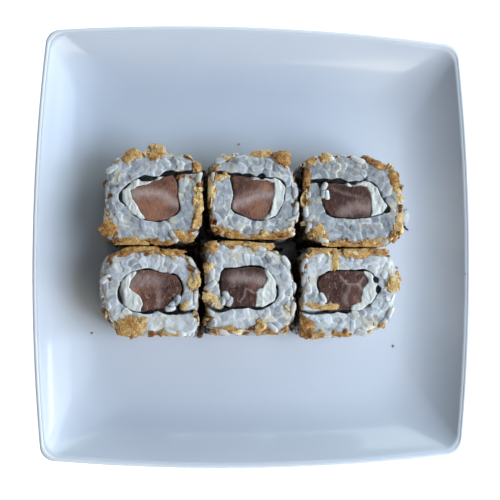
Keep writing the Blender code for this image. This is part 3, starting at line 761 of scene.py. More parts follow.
def cutGrains(number, draw):
    # where the knife went through grains: rods packed between the rim and the nori's loop, as
    # centres, headings, half lengths and radii
    look = riceLook
    rim, loop = outlineOf(number, "rim", 160), outlineOf(number, "filling", 120)
    inner = rim - outwards(rim) * look["inset"]

    def nearestOn(outline, share):
        return np.floor(share * len(outline)).astype(int) % len(outline)

    def confine(points):
        # back over the nearest edge by as much as a disc is past it
        moved = points.copy()
        outside = ~isInside(points, inner)
        moved[outside] = inner[nearestOn(inner, distanceTo(points, inner)[1])][outside]
        gap, share = distanceTo(moved, loop)
        short = look["fillingClear"] - np.where(isInside(moved, loop), -gap, gap)
        push = outwards(loop)[nearestOn(loop, share)] * short[:, None]
        moved[short > 0] += push[short > 0]
        return moved

    tries = look["cutGrains"] * 6
    start = draw.uniform(rim.min(axis=0), rim.max(axis=0), (tries, 2))
    free = isInside(start, inner) & (depthIn(start, loop) < -1.2)
    start = start[free][: look["cutGrains"]]
    count = len(start)
    length = draw.uniform(*look["length"], count)
    width = draw.uniform(*look["width"], count)
    lying = draw.uniform(0, 1, count) ** 0.8  # 0 stands on end, 1 lies flat
    half = np.clip((length - width) / 2 * lying, 0.05, None)
    turn = draw.uniform(0, math.pi, count)
    centre, heading = settle(start, half, width / 2 * look["pressed"], turn, confine)
    return centre, heading, half, width / 2


def blackHollowWidth(number, points):
    # painted shade: how much wider the nori is made near the black hollows of the slice
    wider = np.zeros(len(points))
    for x, y, reach, width in noriLook["blackHollows"][number]:
        away = np.hypot(points[:, 0] - x, points[:, 1] - y) / reach
        wider = np.maximum(wider, width * np.clip(1 - away**2, 0, 1))
    return wider


def cutSurface(number, flat, grains, draw):
    # the cut at points of it, as its height, tone and shine, the shine being a painted highlight
    # along the grains' rims: each point belongs to the grain whose rod is nearest for its radius,
    # and lies on that grain's own tilted plane, less a seam near the border with the next grain
    # and a hole where no grain is near
    look = riceLook
    centre, heading, half, reach = grains
    count = len(centre)
    way = np.stack([np.cos(heading), np.sin(heading)], axis=1)
    away = flat[:, None, :] - centre
    along = np.clip(np.sum(away * way, axis=2), -half, half)
    apart = np.linalg.norm(away - along[..., None] * way, axis=2) / reach
    order = np.argpartition(apart, 1, axis=1)
    row = np.arange(len(flat))
    best, second = apart[row, order[:, 0]], apart[row, order[:, 1]]
    grain = order[:, 0]
    border = (second - best) * reach[grain] / 2
    level = draw.normal(0, look["unevenCut"], count).clip(-0.9, 0.7)
    lean = draw.normal(0, look["lean"], (count, 2))
    seam = draw.uniform(*look["seamDepth"], count)
    cutTone = np.clip(draw.normal(0, look["toneSpread"], count), -0.4, 0.4)
    ground = lifted(flat, number * 9)
    loose = np.clip(0.55 + 0.9 * noiseAt(ground, 5.0, 55), 0.12, 1)  # low where grains ran together
    tilted = (level[grain] + np.sum(lean[grain] * away[row, grain], axis=1)) * (0.35 + 0.65 * loose)
    seams = seam[grain] * np.exp(-((border / look["seamWidth"]) ** 2)) * loose
    holes = look["hole"] * np.clip(best - 1.05, 0, 0.8)
    rise = tilted - seams - holes - look["sag"] * best**2 + layered(ground, look["cutWaves"])

    heart = look["heart"] * np.exp(-((best / 0.5) ** 2))
    # the slice's paleness, partly painted light
    patch = look["paleAndLit"][number] + layered(ground, look["tonePatches"])
    tone = patch + (cutTone[grain] - heart + 0.04) * (0.25 + 0.75 * loose)
    # painted highlight: a bright line just inside each grain's border, shown in patches
    rimHighlight = np.exp(-(((border - 0.34) / 0.34) ** 2)) * np.clip(1.5 - best, 0, 1)
    highlightPatches = np.clip(noiseAt(ground, 1.6, 54) * 1.5 + 0.4, 0, 1)
    return rise, tone.clip(0, 1), rimHighlight * (0.3 + 0.7 * loose) * highlightPatches


def riceFields(number, points, tone, shine):
    # what the rice's paint reads at each point
    return {
        "tone": tone, "stain": stainAt(number, points), "rimLight": shine,
        # gap: painted shade in the narrow gaps between slices
        "gap": gapShadeAt(number, points),
    }


def makeCutRice(number, paints, grains, draw):
    # the pressed rice: a ring whose profile goes up the filling's wall, over the cut and down
    # the side, at radii between the two outlines for each angle, rounded at both edges of the
    # cut and grooved along the nori's tail
    look = riceLook
    rim, loop = outlineOf(number, "rim", 240), outlineOf(number, "filling", 240)
    middle = loop.mean(axis=0)
    angles = np.arange(look["spokes"]) / look["spokes"] * 2 * math.pi

    def radiusAt(outline, grow):
        # distance from the middle to the grown outline, at each angle
        line = outline + outwards(outline) * grow - middle
        turn = np.arctan2(line[:, 1], line[:, 0]) % (2 * math.pi)
        order = np.argsort(turn)
        return np.interp(angles, turn[order], np.hypot(*line.T)[order], period=2 * math.pi)

    wall = look["wallOut"] + look["blackHollowRoom"] * blackHollowWidth(number, loop)
    for size, seed, shift, height in look["wallWaves"]:
        wall = wall + height * noiseAt(lifted(loop, number * shift), size, seed)
    near = radiusAt(loop, wall[:, None])
    far = radiusAt(rim, -look["coreInset"])
    # the profile: (share of the way from the filling to the rim, height), with the cut at -1
    lower = [(0.0, z) for z in (0.1, 6, 12, 18, 22, 24.3)]
    across = [(share, -1.0) for share in np.linspace(0.0, 1.0, look["cutRings"])]
    outer = [(1.0, z) for z in (24.0, 21, 17, 13, 9, 5, 1)]
    under = [(0.97, 0.1), (0.75, 0.05), (0.5, 0.05), (0.25, 0.05)]
    share, height = np.array(lower + across + outer + under).T
    radius = near[None, :] + (far - near)[None, :] * share[:, None]
    x, y = middle[0] + radius * np.cos(angles), middle[1] + radius * np.sin(angles)
    z = np.broadcast_to(height[:, None], radius.shape).copy()
    top = height < 0
    flat = np.stack([x[top].ravel(), y[top].ravel()], axis=1)
    rise, tone, shine = cutSurface(number, flat, grains, draw)

    width = np.broadcast_to((far - near)[None, :], radius.shape)[top].ravel()
    part = np.broadcast_to(share[:, None], radius.shape)[top].ravel()
    rounded = ((look["shoulder"], (1 - part) * width), (look["innerRound"], part * width))
    for edge, inward in rounded:
        rise = rise - (edge - np.sqrt(edge**2 - (edge - np.clip(inward, 0, edge)) ** 2))
    rise = rise - look["tailGroove"] * np.clip(1.5 - nearTail(number, flat) / 0.62, 0, 1)
    z[top] = (sliceHeight + 0.05 + rise).reshape(z[top].shape)
    points = np.stack([x, y, z], axis=-1).reshape(-1, 3)
    lumps = look["sideLumps"] * noiseAt(points, 2.6, 60 + number)
    points[:, :2] += (lumps * (np.repeat(share, len(angles)) > 0.99))[:, None]
    points[:, 2] = np.maximum(points[:, 2], lowest)
    tones, shines = np.full(radius.shape, look["sideTone"]), np.zeros(radius.shape)
    tones[top] = tone.reshape(z[top].shape)
    shines[top] = shine.reshape(z[top].shape)
    pieceFrom(
        f"riceCore_{number}", placed(number, fitted(number, points)),
        [gridFaces(len(share), len(angles), wrapRows=True)], paints["rice"],
        [f"rice_{number}"], riceFields(number, points, tones.ravel(), shines.ravel()),
    )


def proudGrains(number, grains, draw):
    # whole grains that the knife left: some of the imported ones, and strays in the filling
    look = riceLook
    centre, heading = grains[:2]
    chance = draw.random(len(centre)) - 0.5 * (depthIn(centre, outlineOf(number, "rim", 60)) < 3)
    chosen = np.argsort(chance)[: look["proudGrains"]]
    chosen = chosen[nearTail(number, centre[chosen]) > 2.0]
    strays = np.array(look["strays"].get(number, ())).reshape(-1, 4)
    count = len(chosen) + len(strays)
    z = sliceHeight - look["proudSunk"] + draw.normal(0, 0.2, count)
    z[len(chosen):] = sliceHeight - look["straySunk"]
    spots = np.column_stack([np.concatenate([centre[chosen], strays[:, :2]]), z])
    yaw = np.concatenate([heading[chosen], np.radians(strays[:, 2])])
    length = np.concatenate([draw.uniform(*look["proudLength"], len(chosen)), strays[:, 3]])
    width = draw.uniform(*look["proudWidth"], count)
    size = np.column_stack([length, width, np.full(count, look["proudThickness"])])
    cloud = grainCloud(spots, yaw, draw.normal(0, 0.12, count), size, number)
    return cloud, np.clip(draw.normal(0.5, 0.15, count), 0, 1)


def sideGrains(number, draw):
    # grains on the side, unrolled: X along the rim and Y up, so that the same settling packs
    # them; then each stands up and turns to face outwards
    look = riceLook
    rim = outlineOf(number, "rim", 160)
    inner = rim - outwards(rim) * look["inset"]
    around = np.sum(np.hypot(*(np.roll(inner, -1, axis=0) - inner).T))
    count = look["sideGrains"]
    start = draw.uniform((0, 1.2), (around, sliceHeight - 2.6), (count, 2))
    length = draw.uniform(*look["length"], count)
    width = draw.uniform(*look["width"], count)
    thick = draw.uniform(*look["thickness"], count)
    lowRoom, highRoom = look["sideHeights"]

    def confine(points):
        return np.column_stack([points[:, 0], np.clip(points[:, 1], lowRoom, sliceHeight - highRoom)])

    turn = draw.uniform(0, math.pi, count)
    half, radius = (length - width) / 2, width / 2 * look["pressed"]
    place, slope = settle(start, half, radius, turn, confine, wrap=around)
    share = place[:, 0] / around % 1 * len(inner)
    index = np.floor(share).astype(int) % len(inner)
    spot = inner[index] + (inner[(index + 1) % len(inner)] - inner[index]) * (share % 1)[:, None]
    out = outwards(inner)[index]
    swell = 0.5 * np.sin(place[:, 1] / sliceHeight * math.pi) + draw.normal(0, 0.3, count) - 0.1
    spot = spot + out * swell[:, None]
    size = np.column_stack([length, width, thick])
    flat = grainCloud(np.zeros((count, 3)), slope, np.zeros(count), size, number)
    facing = np.arctan2(out[:, 0], -out[:, 1])
    c, s = np.cos(facing)[:, None], np.sin(facing)[:, None]
    x, up, away = flat[..., 0], flat[..., 1], flat[..., 2]
    side = np.stack([x * c + away * s, x * s - away * c, up], axis=-1)
    side = side + np.column_stack([spot, place[:, 1]])[:, None, :]
    side[..., 2] = np.clip(side[..., 2], lowest, sliceHeight - 0.2)
    keep = nearTail(number, spot) > 1.3
    return side[keep], np.clip(draw.normal(0.5, 0.2, count), 0, 1)[keep]


def makeRice(number, paints):
    # the pressed rice with its cut, and the whole grains on the cut and on the side
    look = riceLook
    draw = np.random.default_rng(100 + number)
    grains = cutGrains(number, draw)
    makeCutRice(number, paints, grains, draw)
    proud, proudTone = proudGrains(number, grains, draw)
    side, sideTone = sideGrains(number, draw)
    points = fitted(number, np.concatenate([proud, side]))
    tone = np.repeat(np.concatenate([proudTone, sideTone]), points.shape[1])
    faces = blobGrid(len(points), look["rings"], look["around"])
    points = points.reshape(-1, 3)
    pieceFrom(
        f"riceGrains_{number}", placed(number, points), faces, paints["rice"],
        [f"rice_{number}"], riceFields(number, points, tone, np.zeros(len(points))),
    )


def fitted(number, points):
    # nothing crosses into a neighbouring slice or into the plate
    (west, south), (east, north) = slices[number]["cell"]
    low = np.array([west, south, lowest]) + (cellMargin, cellMargin, 0)
    high = np.array([east, north, sliceHeight + 0.9]) - (cellMargin, cellMargin, 0)
    return np.clip(points, low, high)


def placed(number, points):
    # from the slice's own centre to the plate
    return points + (*slices[number]["centre"], sliceBase)


def coverageAt(number, points):
    # how much onion there is at points near the rim: the rim's values, blended along it
    values = np.array(slices[number]["crust"])
    spot = distanceTo(points, np.array(slices[number]["rim"]))[1] * len(values)
    index = np.floor(spot).astype(int) % len(values)
    blend = spot % 1
    return values[index] * (1 - blend) + values[(index + 1) % len(values)] * blend


def gapShadeAt(number, points):
    # painted shade: 0 at the cut and away from other slices, 1 down in the narrow gap beside one
    look = riceLook
    low = np.clip((sliceHeight - look["shadeTop"] - points[:, 2]) / look["shadeFade"], 0, 1)
    return low * np.clip(look["shadeReach"] - beside(number, points[:, :2]), 0, 1)


def stainAt(number, points):
    # rice is browner close under the onion, in patches
    flat = points[:, :2]
    depth = depthIn(flat, outlineOf(number, "rim", 60))
    edge = np.clip(1 - depth / riceLook["stainReach"], 0, 1)
    patch = np.clip(noiseAt(points, 5.0, 40 + number) * 0.8 + 0.4, 0, 1)
    return edge * patch * coverageAt(number, flat)


noriLook = {
    "halfWidth": 0.17,
    "wave": 0.30,
    "ragged": 0.45,
    "steps": 260,
    "levels": (0.0, 0.2, 0.4, 0.58, 0.72, 0.84, 0.92, 0.97, 1.0),  # shares of the height
    # painted shade, the sheet widened to fill black hollows: x, y, reach, extra half width
    "blackHollows": {
        1: ((-2.5, 7.0, 4.5, 0.95), (6.0, 8.8, 4.5, 0.8), (12.0, 9.6, 4.0, 0.6), (-12.8, -1.0, 4.0, 0.4)),
        2: ((-7.0, 7.8, 3.0, 0.6), (-2.0, 7.8, 3.0, 0.6), (3.2, 7.5, 1.8, 1.0), (-13.0, 8.8, 3.5, 0.6)),
        3: ((-12.0, 7.6, 4.0, 0.7), (-5.5, 7.4, 4.0, 1.0), (0.5, 7.0, 2.5, 0.6), (14.2, -3.8, 1.8, 0.6)),
        4: ((0.0, -7.6, 4.0, 0.6), (6.0, -7.6, 4.0, 0.9), (11.0, -7.8, 3.5, 0.8), (-11.8, -2.0, 5.0, 0.55)),
        5: ((-10.0, -8.3, 4.0, 0.6), (-4.0, -7.8, 4.0, 0.6), (3.0, -8.4, 3.0, 0.5), (10.6, -1.0, 3.5, 0.4)),
        6: ((-8.0, -7.6, 3.5, 0.6), (-3.0, -7.3, 3.5, 0.7), (10.0, 5.0, 1.6, 1.1), (11.0, 1.2, 2.0, 0.8)),
    },
}


def makeNori(number, paints):
    # the sheet on edge: a narrow closed profile of (side, height) carried along tail and loop,
    # waved sideways more towards its torn upper edge, and widened into the black hollows as
    # painted shade
    look = noriLook
    filling = slices[number]["filling"]
    path = (*slices[number]["tail"], *filling, filling[0])
    line = curveThrough(path, look["steps"], closed=False)
    line = line[: int(look["steps"] * 0.985)]  # stops short of closing the loop
    along = np.gradient(line, axis=0)
    along = along / np.hypot(*along.T)[:, None]
    side = np.stack([-along[:, 1], along[:, 0]], axis=1)
    levels = look["levels"]
    profile = [(-1, level) for level in levels] + [(1, level) for level in levels[::-1]]
    across, up = np.array(profile, float).T
    across = across * np.where(up > 0.99, 0.45, 1)  # thinner at the torn edge
    spot = lifted(line, 0)
    tear = layered(spot, ((3.2, 80 + number, 1.0), (0.9, 90 + number, 0.6)))
    # painted shade: extra width where the slice shows black hollows
    extra = blackHollowWidth(number, line) * (1 + 0.5 * noiseAt(spot, 1.3, 95))
    crest = sliceHeight - 0.45 + look["ragged"] * tear + 0.2 * extra
    lean = look["wave"] * noiseAt(spot, 2.8, 70 + number)
    upper = np.clip(up - 0.5, 0, 1)[None, :] * 2
    offset = across[None, :] * (look["halfWidth"] + extra[:, None] * upper) + lean[:, None] * upper
    z = np.maximum(up[None, :] * crest[:, None], 0.05)
    flat = line[:, None, :] + side[:, None, :] * offset[..., None]
    points = np.concatenate([flat, z[..., None]], axis=2)
    rows, columns = points.shape[:2]
    start = np.arange(columns)[None]
    faces = [gridFaces(rows, columns)[:, ::-1], start, (rows - 1) * columns + start[:, ::-1]]
    pieceFrom(
        f"noriSheet_{number}", placed(number, points.reshape(-1, 3)), faces,
        paints["nori"], [f"nori_{number}"], sharp=50,
    )


salmonLook = {
    "spacing": 0.36,
    "edge": 0.7,
    "drift": 0.12,
    "sunk": 0.35,
    "grown": 0.22,  # past the solid's outline, towards the cheese
    "waver": 0.16,
    "waves": ((3.6, 5, 0.16), (1.1, 6, 0.07)),  # size, seed, height
    "proudFat": 0.12,
    # lines of fat through the meat, as points with the band's half width and strength
    "bands": {
        1: (
            (((-9.0, 0.6), (-6.5, 0.9), (-2.5, 1.1), (1.5, 0.9), (4.5, -0.2), (8.4, -2.6)), 1.7, 0.85),
            (((2.5, 0.2), (5.0, -1.0), (8.4, -3.2)), 1.5, 0.6),
        ),
        2: (
            (((-7.8, -4.0), (-6.6, -3.3), (-4.2, -2.3), (-0.6, -0.8), (3.4, 0.1), (8.2, 0.5)), 1.7, 0.8),
            (((-6.8, -1.8), (-3.0, 0.4), (2.0, 1.6)), 1.2, 0.4),
        ),
        3: (
            (((-3.5, -4.6), (-0.2, -3.2), (3.2, -2.6), (6.5, -3.0)), 2.2, 0.55),
            (((-8.0, 4.5), (-3.0, 2.5), (2.0, 1.5), (6.5, 0.5)), 0.6, 0.25),
        ),
        4: (
            (((-7.7, 3.2), (-5.4, 4.6), (-1.5, 4.6), (2.0, 3.8)), 2.2, 0.5),
            (((3.1, 0.1), (3.1, -3.5), (2.8, -5.7)), 1.0, 0.45),
        ),
        5: (
            (((-6.5, 3.6), (-1.9, 3.6), (3.4, 2.7), (5.2, 2.2)), 1.9, 0.6),
            (((-3.8, -5.5), (-2.2, -3.6), (-1.6, -0.7), (2.0, -2.3)), 0.4, 0.42),
        ),
        6: (
            (((-4.2, 6.3), (-2.3, 3.9), (-0.1, 3.2), (2.8, 3.4), (4.3, 4.9), (5.1, 6.0)), 0.40, 0.55),
            (((-0.5, 2.7), (-1.3, 0.2), (-2.7, -1.6), (-2.3, -4.2)), 0.9, 0.4),
            (((3.2, 3.6), (4.0, 1.6), (5.6, 0.8)), 0.5, 0.6),
        ),
    },
    # how light each slice's meat is, and where it is lighter or darker: x, y, reach, by how much
    "light": {1: 0.52, 2: 0.32, 3: 0.05, 4: 0.23, 5: -0.02, 6: 0.06},
    "patches": {
        1: (
            (1.5, -5.0, 4.0, 0.12), (-7.0, 3.5, 4.0, -0.22), (3.5, 6.0, 4.0, -0.22),
            (7.5, -5.5, 3.0, -0.22),
        ),
        2: (
            (5.8, 3.1, 2.4, 0.36), (3.0, -5.0, 4.0, 0.22), (-6.0, 5.5, 4.5, -0.20),
            (-6.5, -0.5, 2.5, -0.12),
        ),
        3: ((-5.0, 2.5, 4.5, -0.10), (3.0, -2.5, 3.0, 0.10)),
        4: ((-6.7, 0.1, 2.0, 0.42), (-2.0, 0.3, 2.5, 0.18), (6.0, 1.0, 4.5, -0.22), (3.0, -4.0, 2.0, 0.1)),
        5: ((1.6, -0.2, 1.9, 0.34), (-5.0, -2.0, 4.0, -0.08), (0.5, -4.5, 2.0, 0.25)),
        6: ((3.0, -3.6, 2.6, 0.38), (-1.2, -1.0, 1.6, 0.18), (-6.0, 0.5, 4.0, -0.08)),
    },
    "veins": {1: 0.10, 2: 0.20, 3: 0.25, 4: 0.85, 5: 0.55, 6: 0.8},
}


def meatAt(number, points):
    # how light the meat is: the slice's value plus bell curves about its patches
    light = np.full(len(points), salmonLook["light"][number])
    for x, y, reach, change in salmonLook["patches"][number]:
        away = ((points[:, 0] - x) ** 2 + (points[:, 1] - y) ** 2) / reach**2
        light = light + change * np.exp(-away)
    return light


def makeSalmon(number, paints):
    # the block on the CAD's outline; the knife's cut is slow waves, with the bands of fat
    # standing a little proud
    look = salmonLook
    solid = capOutline(f"salmon_{number}") - np.array(slices[number]["centre"])
    outline = wavering(solid, look["grown"], look["waver"], number)

    def topAt(points):
        # the cut's height
        waves = layered(lifted(points, number * 13), look["waves"])
        return sliceHeight - look["sunk"] + waves + look["proudFat"] * fatAt(number, points)

    points, faces = slabOn(outline, look["spacing"], topAt, look["edge"], look["drift"])
    flat = points[:, :2]
    pieceFrom(
        f"salmonBlock_{number}", placed(number, points), faces, paints["salmon"],
        [f"salmon_{number}"], {
            "fat": fatAt(number, flat), "meat": meatAt(number, flat),
            "veins": np.full(len(points), look["veins"][number]),
        },
    )


def fatAt(number, points):
    # a band's strength times a bell curve of the distance from its line, with a wavering edge
    waver = 0.35 * noiseAt(lifted(points, 5), 1.6, 11)
    total = np.zeros(len(points))
    for knots, half, strength in salmonLook["bands"][number]:
        gap = distanceTo(points, curveThrough(knots, 40, closed=False), closed=False)[0]
        bell = np.exp(-((np.clip(gap / half + waver, 0, None)) ** 2) * 0.9)
        total = np.maximum(total, strength * bell)
    return total


cheeseLook = {
    "spacing": 0.36,
    "edge": 0.6,
    "drift": 0.15,
    "grown": 0.26,
    "waver": 0.42,
    "lumps": 0.50,
    "clots": 0.7,
    "ridges": 0.16,
    "sinks": 2.2,  # under the nori where it is widened into the black hollows
    "sinksWithin": 1.7,
}


def makeCheese(number, paints):
    # on the CAD's outline, smeared by the knife: lumps with ridges drawn out along the cut
    look = cheeseLook
    solid = capOutline(f"cheese_{number}") - np.array(slices[number]["centre"])
    outline = wavering(solid, look["grown"], look["waver"], number + 20)
    loop = outlineOf(number, "filling", 200)

    def topAt(points):
        # the cut's height
        clot = 0.5 - np.abs(noiseAt(lifted(points, number * 5), 1.5, 23))
        lump = noiseAt(lifted(points * (1.0, 0.45), number * 7), 2.4, 21) + look["clots"] * clot
        ridge = noiseAt(lifted(points * (1.0, 0.3), number * 3), 0.7, 22)
        near = np.clip(look["sinksWithin"] - distanceTo(points, loop)[0], 0, 1)
        sunk = near * np.clip(blackHollowWidth(number, points) * 1.4 - 0.3, 0, 1)
        return sliceHeight + look["lumps"] * lump + look["ridges"] * ridge - look["sinks"] * sunk

    points, faces = slabOn(outline, look["spacing"], topAt, look["edge"], look["drift"])
    pieceFrom(
        f"cheeseFill_{number}", placed(number, points), faces, paints["cheese"],
        [f"cheese_{number}"],
    )


crustLook = {
    "rings": 6,
    "around": 7,
    "blunt": 2.3,
    "ridges": 0.38,
    "dents": 0.34,
    # how many pieces of a kind, their lengths, thickness to length, curl, share at the top,
    # and how deep they sit
    "kinds": (
        (190, (2.2, 4.6), 0.45, 0.12, 0.10, 0.10),
        (80, (2.4, 4.6), 0.18, 0.26, 0.14, -0.10),
        (360, (0.8, 2.2), 0.80, 0.0, 0.17, 0.20),
    ),
    "widths": (0.45, 0.85),  # to length
    "thickness": (0.5, 2.2),
    "crowded": 5.0,  # a side with another slice this near sits deeper and is browner: more onion, and painted shade
    "crowdedSink": 0.5,
    "filling": 2.0,  # room kept clear round the filling
    "tail": 0.8,
    "fallen": 110,  # most crumbs on the plate beside a slice
    "fallenReach": 5.0,
    "seamReach": 2.6,
    "hollow": 6.0,  # half the width of the strip where four slices meet
    "hollowEnd": 52.0,
    "clumpRings": 13,
    "clumpAround": 12,
    "clumpWaves": ((1.9, 7, 0.28), (0.5, 9, 0.16)),  # size, seed, height
    "clumpRidges": 0.24,
    "clumpSunk": 0.55,
    "bow": 0.07,
    # the big crisp flakes at the upper edge: x, y, length, width, turn in degrees, tone
    "clumps": {
        1: (
            (0.6, 17.2, 7.0, 5.5, 10, 0.62), (-9.4, 15.6, 7.0, 4.0, 40, 0.6),
            (-17.6, -12.8, 6.5, 6.0, 70, 0.45), (17.4, -2.0, 9.0, 3.4, 95, 0.85),
            (12.0, 7.9, 7.0, 2.2, 5, 0.35), (11.5, -15.6, 8.0, 3.6, 170, 0.6),
            (16.6, -8.6, 7.0, 3.6, 85, 0.7), (16.4, 12.0, 5.0, 3.0, 120, 0.6),
            (-9.5, -17.9, 11.0, 2.9, 177, 0.55), (2.5, -17.7, 10.0, 2.8, 3, 0.45),
        ),
        2: (
            (11.6, 15.2, 6.5, 6.0, 60, 0.4), (3.4, 16.8, 7.0, 2.6, 8, 0.6),
            (-16.4, 3.0, 10.0, 2.8, 88, 0.85), (-13.0, 7.2, 7.0, 2.2, 12, 0.8),
            (-9.0, -14.8, 9.0, 3.4, 160, 0.5), (11.0, -15.2, 9.5, 3.4, 8, 0.5),
            (0.8, -16.6, 9.0, 2.6, 178, 0.5),
        ),
        3: (
            (17.2, 8.4, 8.0, 4.0, 110, 0.45), (9.0, 15.2, 10.0, 3.0, 155, 0.4),
            (-11.4, 16.8, 5.0, 3.4, 30, 0.7), (18.9, 2.4, 6.0, 3.2, 105, 0.85),
            (19.0, -9.4, 11.0, 3.4, 85, 0.9), (-12.6, -13.6, 9.0, 4.0, 125, 0.7),
            (8.5, -16.8, 11.0, 3.4, 5, 0.6), (-3.5, -17.8, 12.0, 2.7, 178, 0.5),
            (-18.4, 8.0, 9.0, 2.6, 86, 0.35),
        ),
        4: (
            (-7.6, -13.2, 13.0, 8.0, 8, 0.60), (16.8, 4.4, 6.5, 3.6, 70, 0.75),
            (-10.5, 14.8, 9.0, 3.2, 20, 0.4), (12.8, -6.0, 3.6, 2.4, 60, 0.7),
            (8.0, 15.2, 9.0, 2.8, 175, 0.5), (7.0, -16.0, 9.0, 2.4, 176, 0.6),
            (-1.5, 16.6, 10.0, 2.7, 177, 0.55),
        ),
        5: (
            (-15.0, -5.4, 7.0, 3.4, 145, 0.85), (-16.2, 7.6, 3.6, 2.8, 50, 0.8),
            (-14.8, 15.2, 5.0, 4.0, 60, 0.6), (3.0, 16.2, 12.0, 3.0, 176, 0.7),
            (4.6, -15.0, 4.0, 3.0, 100, 0.75), (-10.4, -16.6, 10.0, 2.6, 3, 0.6),
            (-7.0, 17.4, 8.0, 2.6, 3, 0.6), (8.0, -17.4, 8.0, 2.0, 172, 0.5),
        ),
        6: (
            (-13.0, -5.4, 15.0, 2.6, 176, 0.7), (17.0, 3.8, 5.2, 8.2, 0, 0.8),
            (-6.6, 12.6, 8.0, 2.8, 85, 0.75), (-18.6, -13.6, 6.0, 4.5, 50, 0.35),
            (2.0, 15.4, 12.0, 4.0, 4, 0.6), (-4.4, -16.4, 8.0, 2.4, 170, 0.5),
            (11.5, 16.4, 8.0, 2.8, 172, 0.5), (-12.0, 16.8, 8.0, 2.8, 5, 0.6),
        ),
    },
}


def flakeCloud(centre, facing, size, spin, curl, seed):
    # ragged curled chips: a blob scaled to each chip's size, its outline pushed in and out by
    # noise, bent by a parabola across its width, then laid against the way it faces
    look = crustLook
    unit = blobShape(look["rings"], look["around"], look["blunt"])
    draw = np.random.default_rng(seed)
    where = unit[None] + draw.uniform(0, 99, (len(centre), 1, 3))
    ridge = 1 - 2 * np.abs(noiseAt(where, 0.8, seed))
    relief = look["ridges"] * ridge + look["dents"] * noiseAt(where, 0.42, seed + 1)
    shape = unit[None] * (1 + relief)[..., None] * size[:, None, :] / 2
    bend = (unit[None, :, 1] ** 2 - 0.3) + 0.6 * unit[None, :, 0] ** 2
    shape[..., 2] += curl[:, None] * bend
    c, s = np.cos(spin)[:, None], np.sin(spin)[:, None]
    x, y = shape[..., 0] * c - shape[..., 1] * s, shape[..., 0] * s + shape[..., 1] * c
    out = unitWay(facing)
    aside = np.cross(np.array([0.0, 0.0, 1.0]), out)
    aside = aside / (np.linalg.norm(aside, axis=1)[:, None] + 1e-6)
    up = np.cross(out, aside)
    points = centre[:, None, :] + x[..., None] * aside[:, None, :] + y[..., None] * up[:, None, :]
    return points + shape[..., 2][..., None] * out[:, None, :], relief


def unitWay(ways):
    # directions as vectors of length 1
    return ways / np.linalg.norm(ways, axis=1)[:, None]


def beside(number, spots):
    # how far points are from the nearest other slice
    nearest = np.full(len(spots), 99.0)
    for other in slices:
        if other != number:
            shift = np.array(slices[other]["centre"]) - slices[number]["centre"]
            rim = outlineOf(other, "rim", 60) + shift
            nearest = np.minimum(nearest, distanceTo(spots, rim)[0])
    return nearest


def rimSpots(number, count, draw, topShare):
    # random places on the side and over the upper edge, kept where the onion's cover allows:
    # the profile goes up the side and then in over the edge by up to 2.6 mm
    rim = outlineOf(number, "rim", 200)
    out = outwards(rim)
    tries = count * 6
    index = draw.integers(0, len(rim), tries)
    onTop = draw.random(tries) < topShare
    z = np.where(onTop, sliceHeight - 0.2, draw.uniform(0.8, sliceHeight - 0.8, tries))
    inset = np.where(onTop, draw.uniform(0.2, 2.6, tries), 0.75)
    cover = coverageAt(number, rim[index])
    # low on the side the cover is at least 0.62, and full where another slice is near
    crowded = beside(number, rim[index]) < crustLook["crowded"]
    low = np.where(crowded, 1.0, np.clip(cover, 0.62, 1))
    share = np.clip((sliceHeight - 2 - z) / 5, 0, 1)
    wanted = cover * (1 - share) + low * share
    wanted = np.where(onTop, cover**1.6 * 0.85, wanted)
    keep = draw.random(tries) < wanted
    spots = np.column_stack([rim[index] - out[index] * inset[:, None], z])
    tilt = np.where(onTop, 1.1, draw.uniform(-0.25, 0.25, tries))
    facing = np.column_stack([out[index], tilt])
    return spots[keep][:count], facing[keep][:count]


def fallenSpots(number, draw):
    # crumbs lying on the plate just outside the rim, kept where another slice is near, and more
    # of them in the hollows where four slices meet. As painted shade they are dark, to fill the
    # shaded gaps and hollows
    look = crustLook
    tries = 900
    rim = outlineOf(number, "rim", 200)
    index = draw.integers(0, len(rim), tries)
    reach = draw.uniform(0.2, look["fallenReach"], tries)
    spots = rim[index] + outwards(rim)[index] * reach[:, None]
    apart = beside(number, spots)
    away = np.abs(spots + slices[number]["centre"])
    inSeam = (apart < look["crowded"]) & (reach < look["seamReach"])
    inHollow = (away[:, 1] < look["hollow"]) & (apart < look["hollow"]) & (apart > 0.3)
    wanted = (inSeam | inHollow) & (away[:, 0] < look["hollowEnd"])
    spots = spots[wanted][: look["fallen"]]
    return lifted(spots, 0.5), np.tile((0.05, 0.0, 1.0), (len(spots), 1))


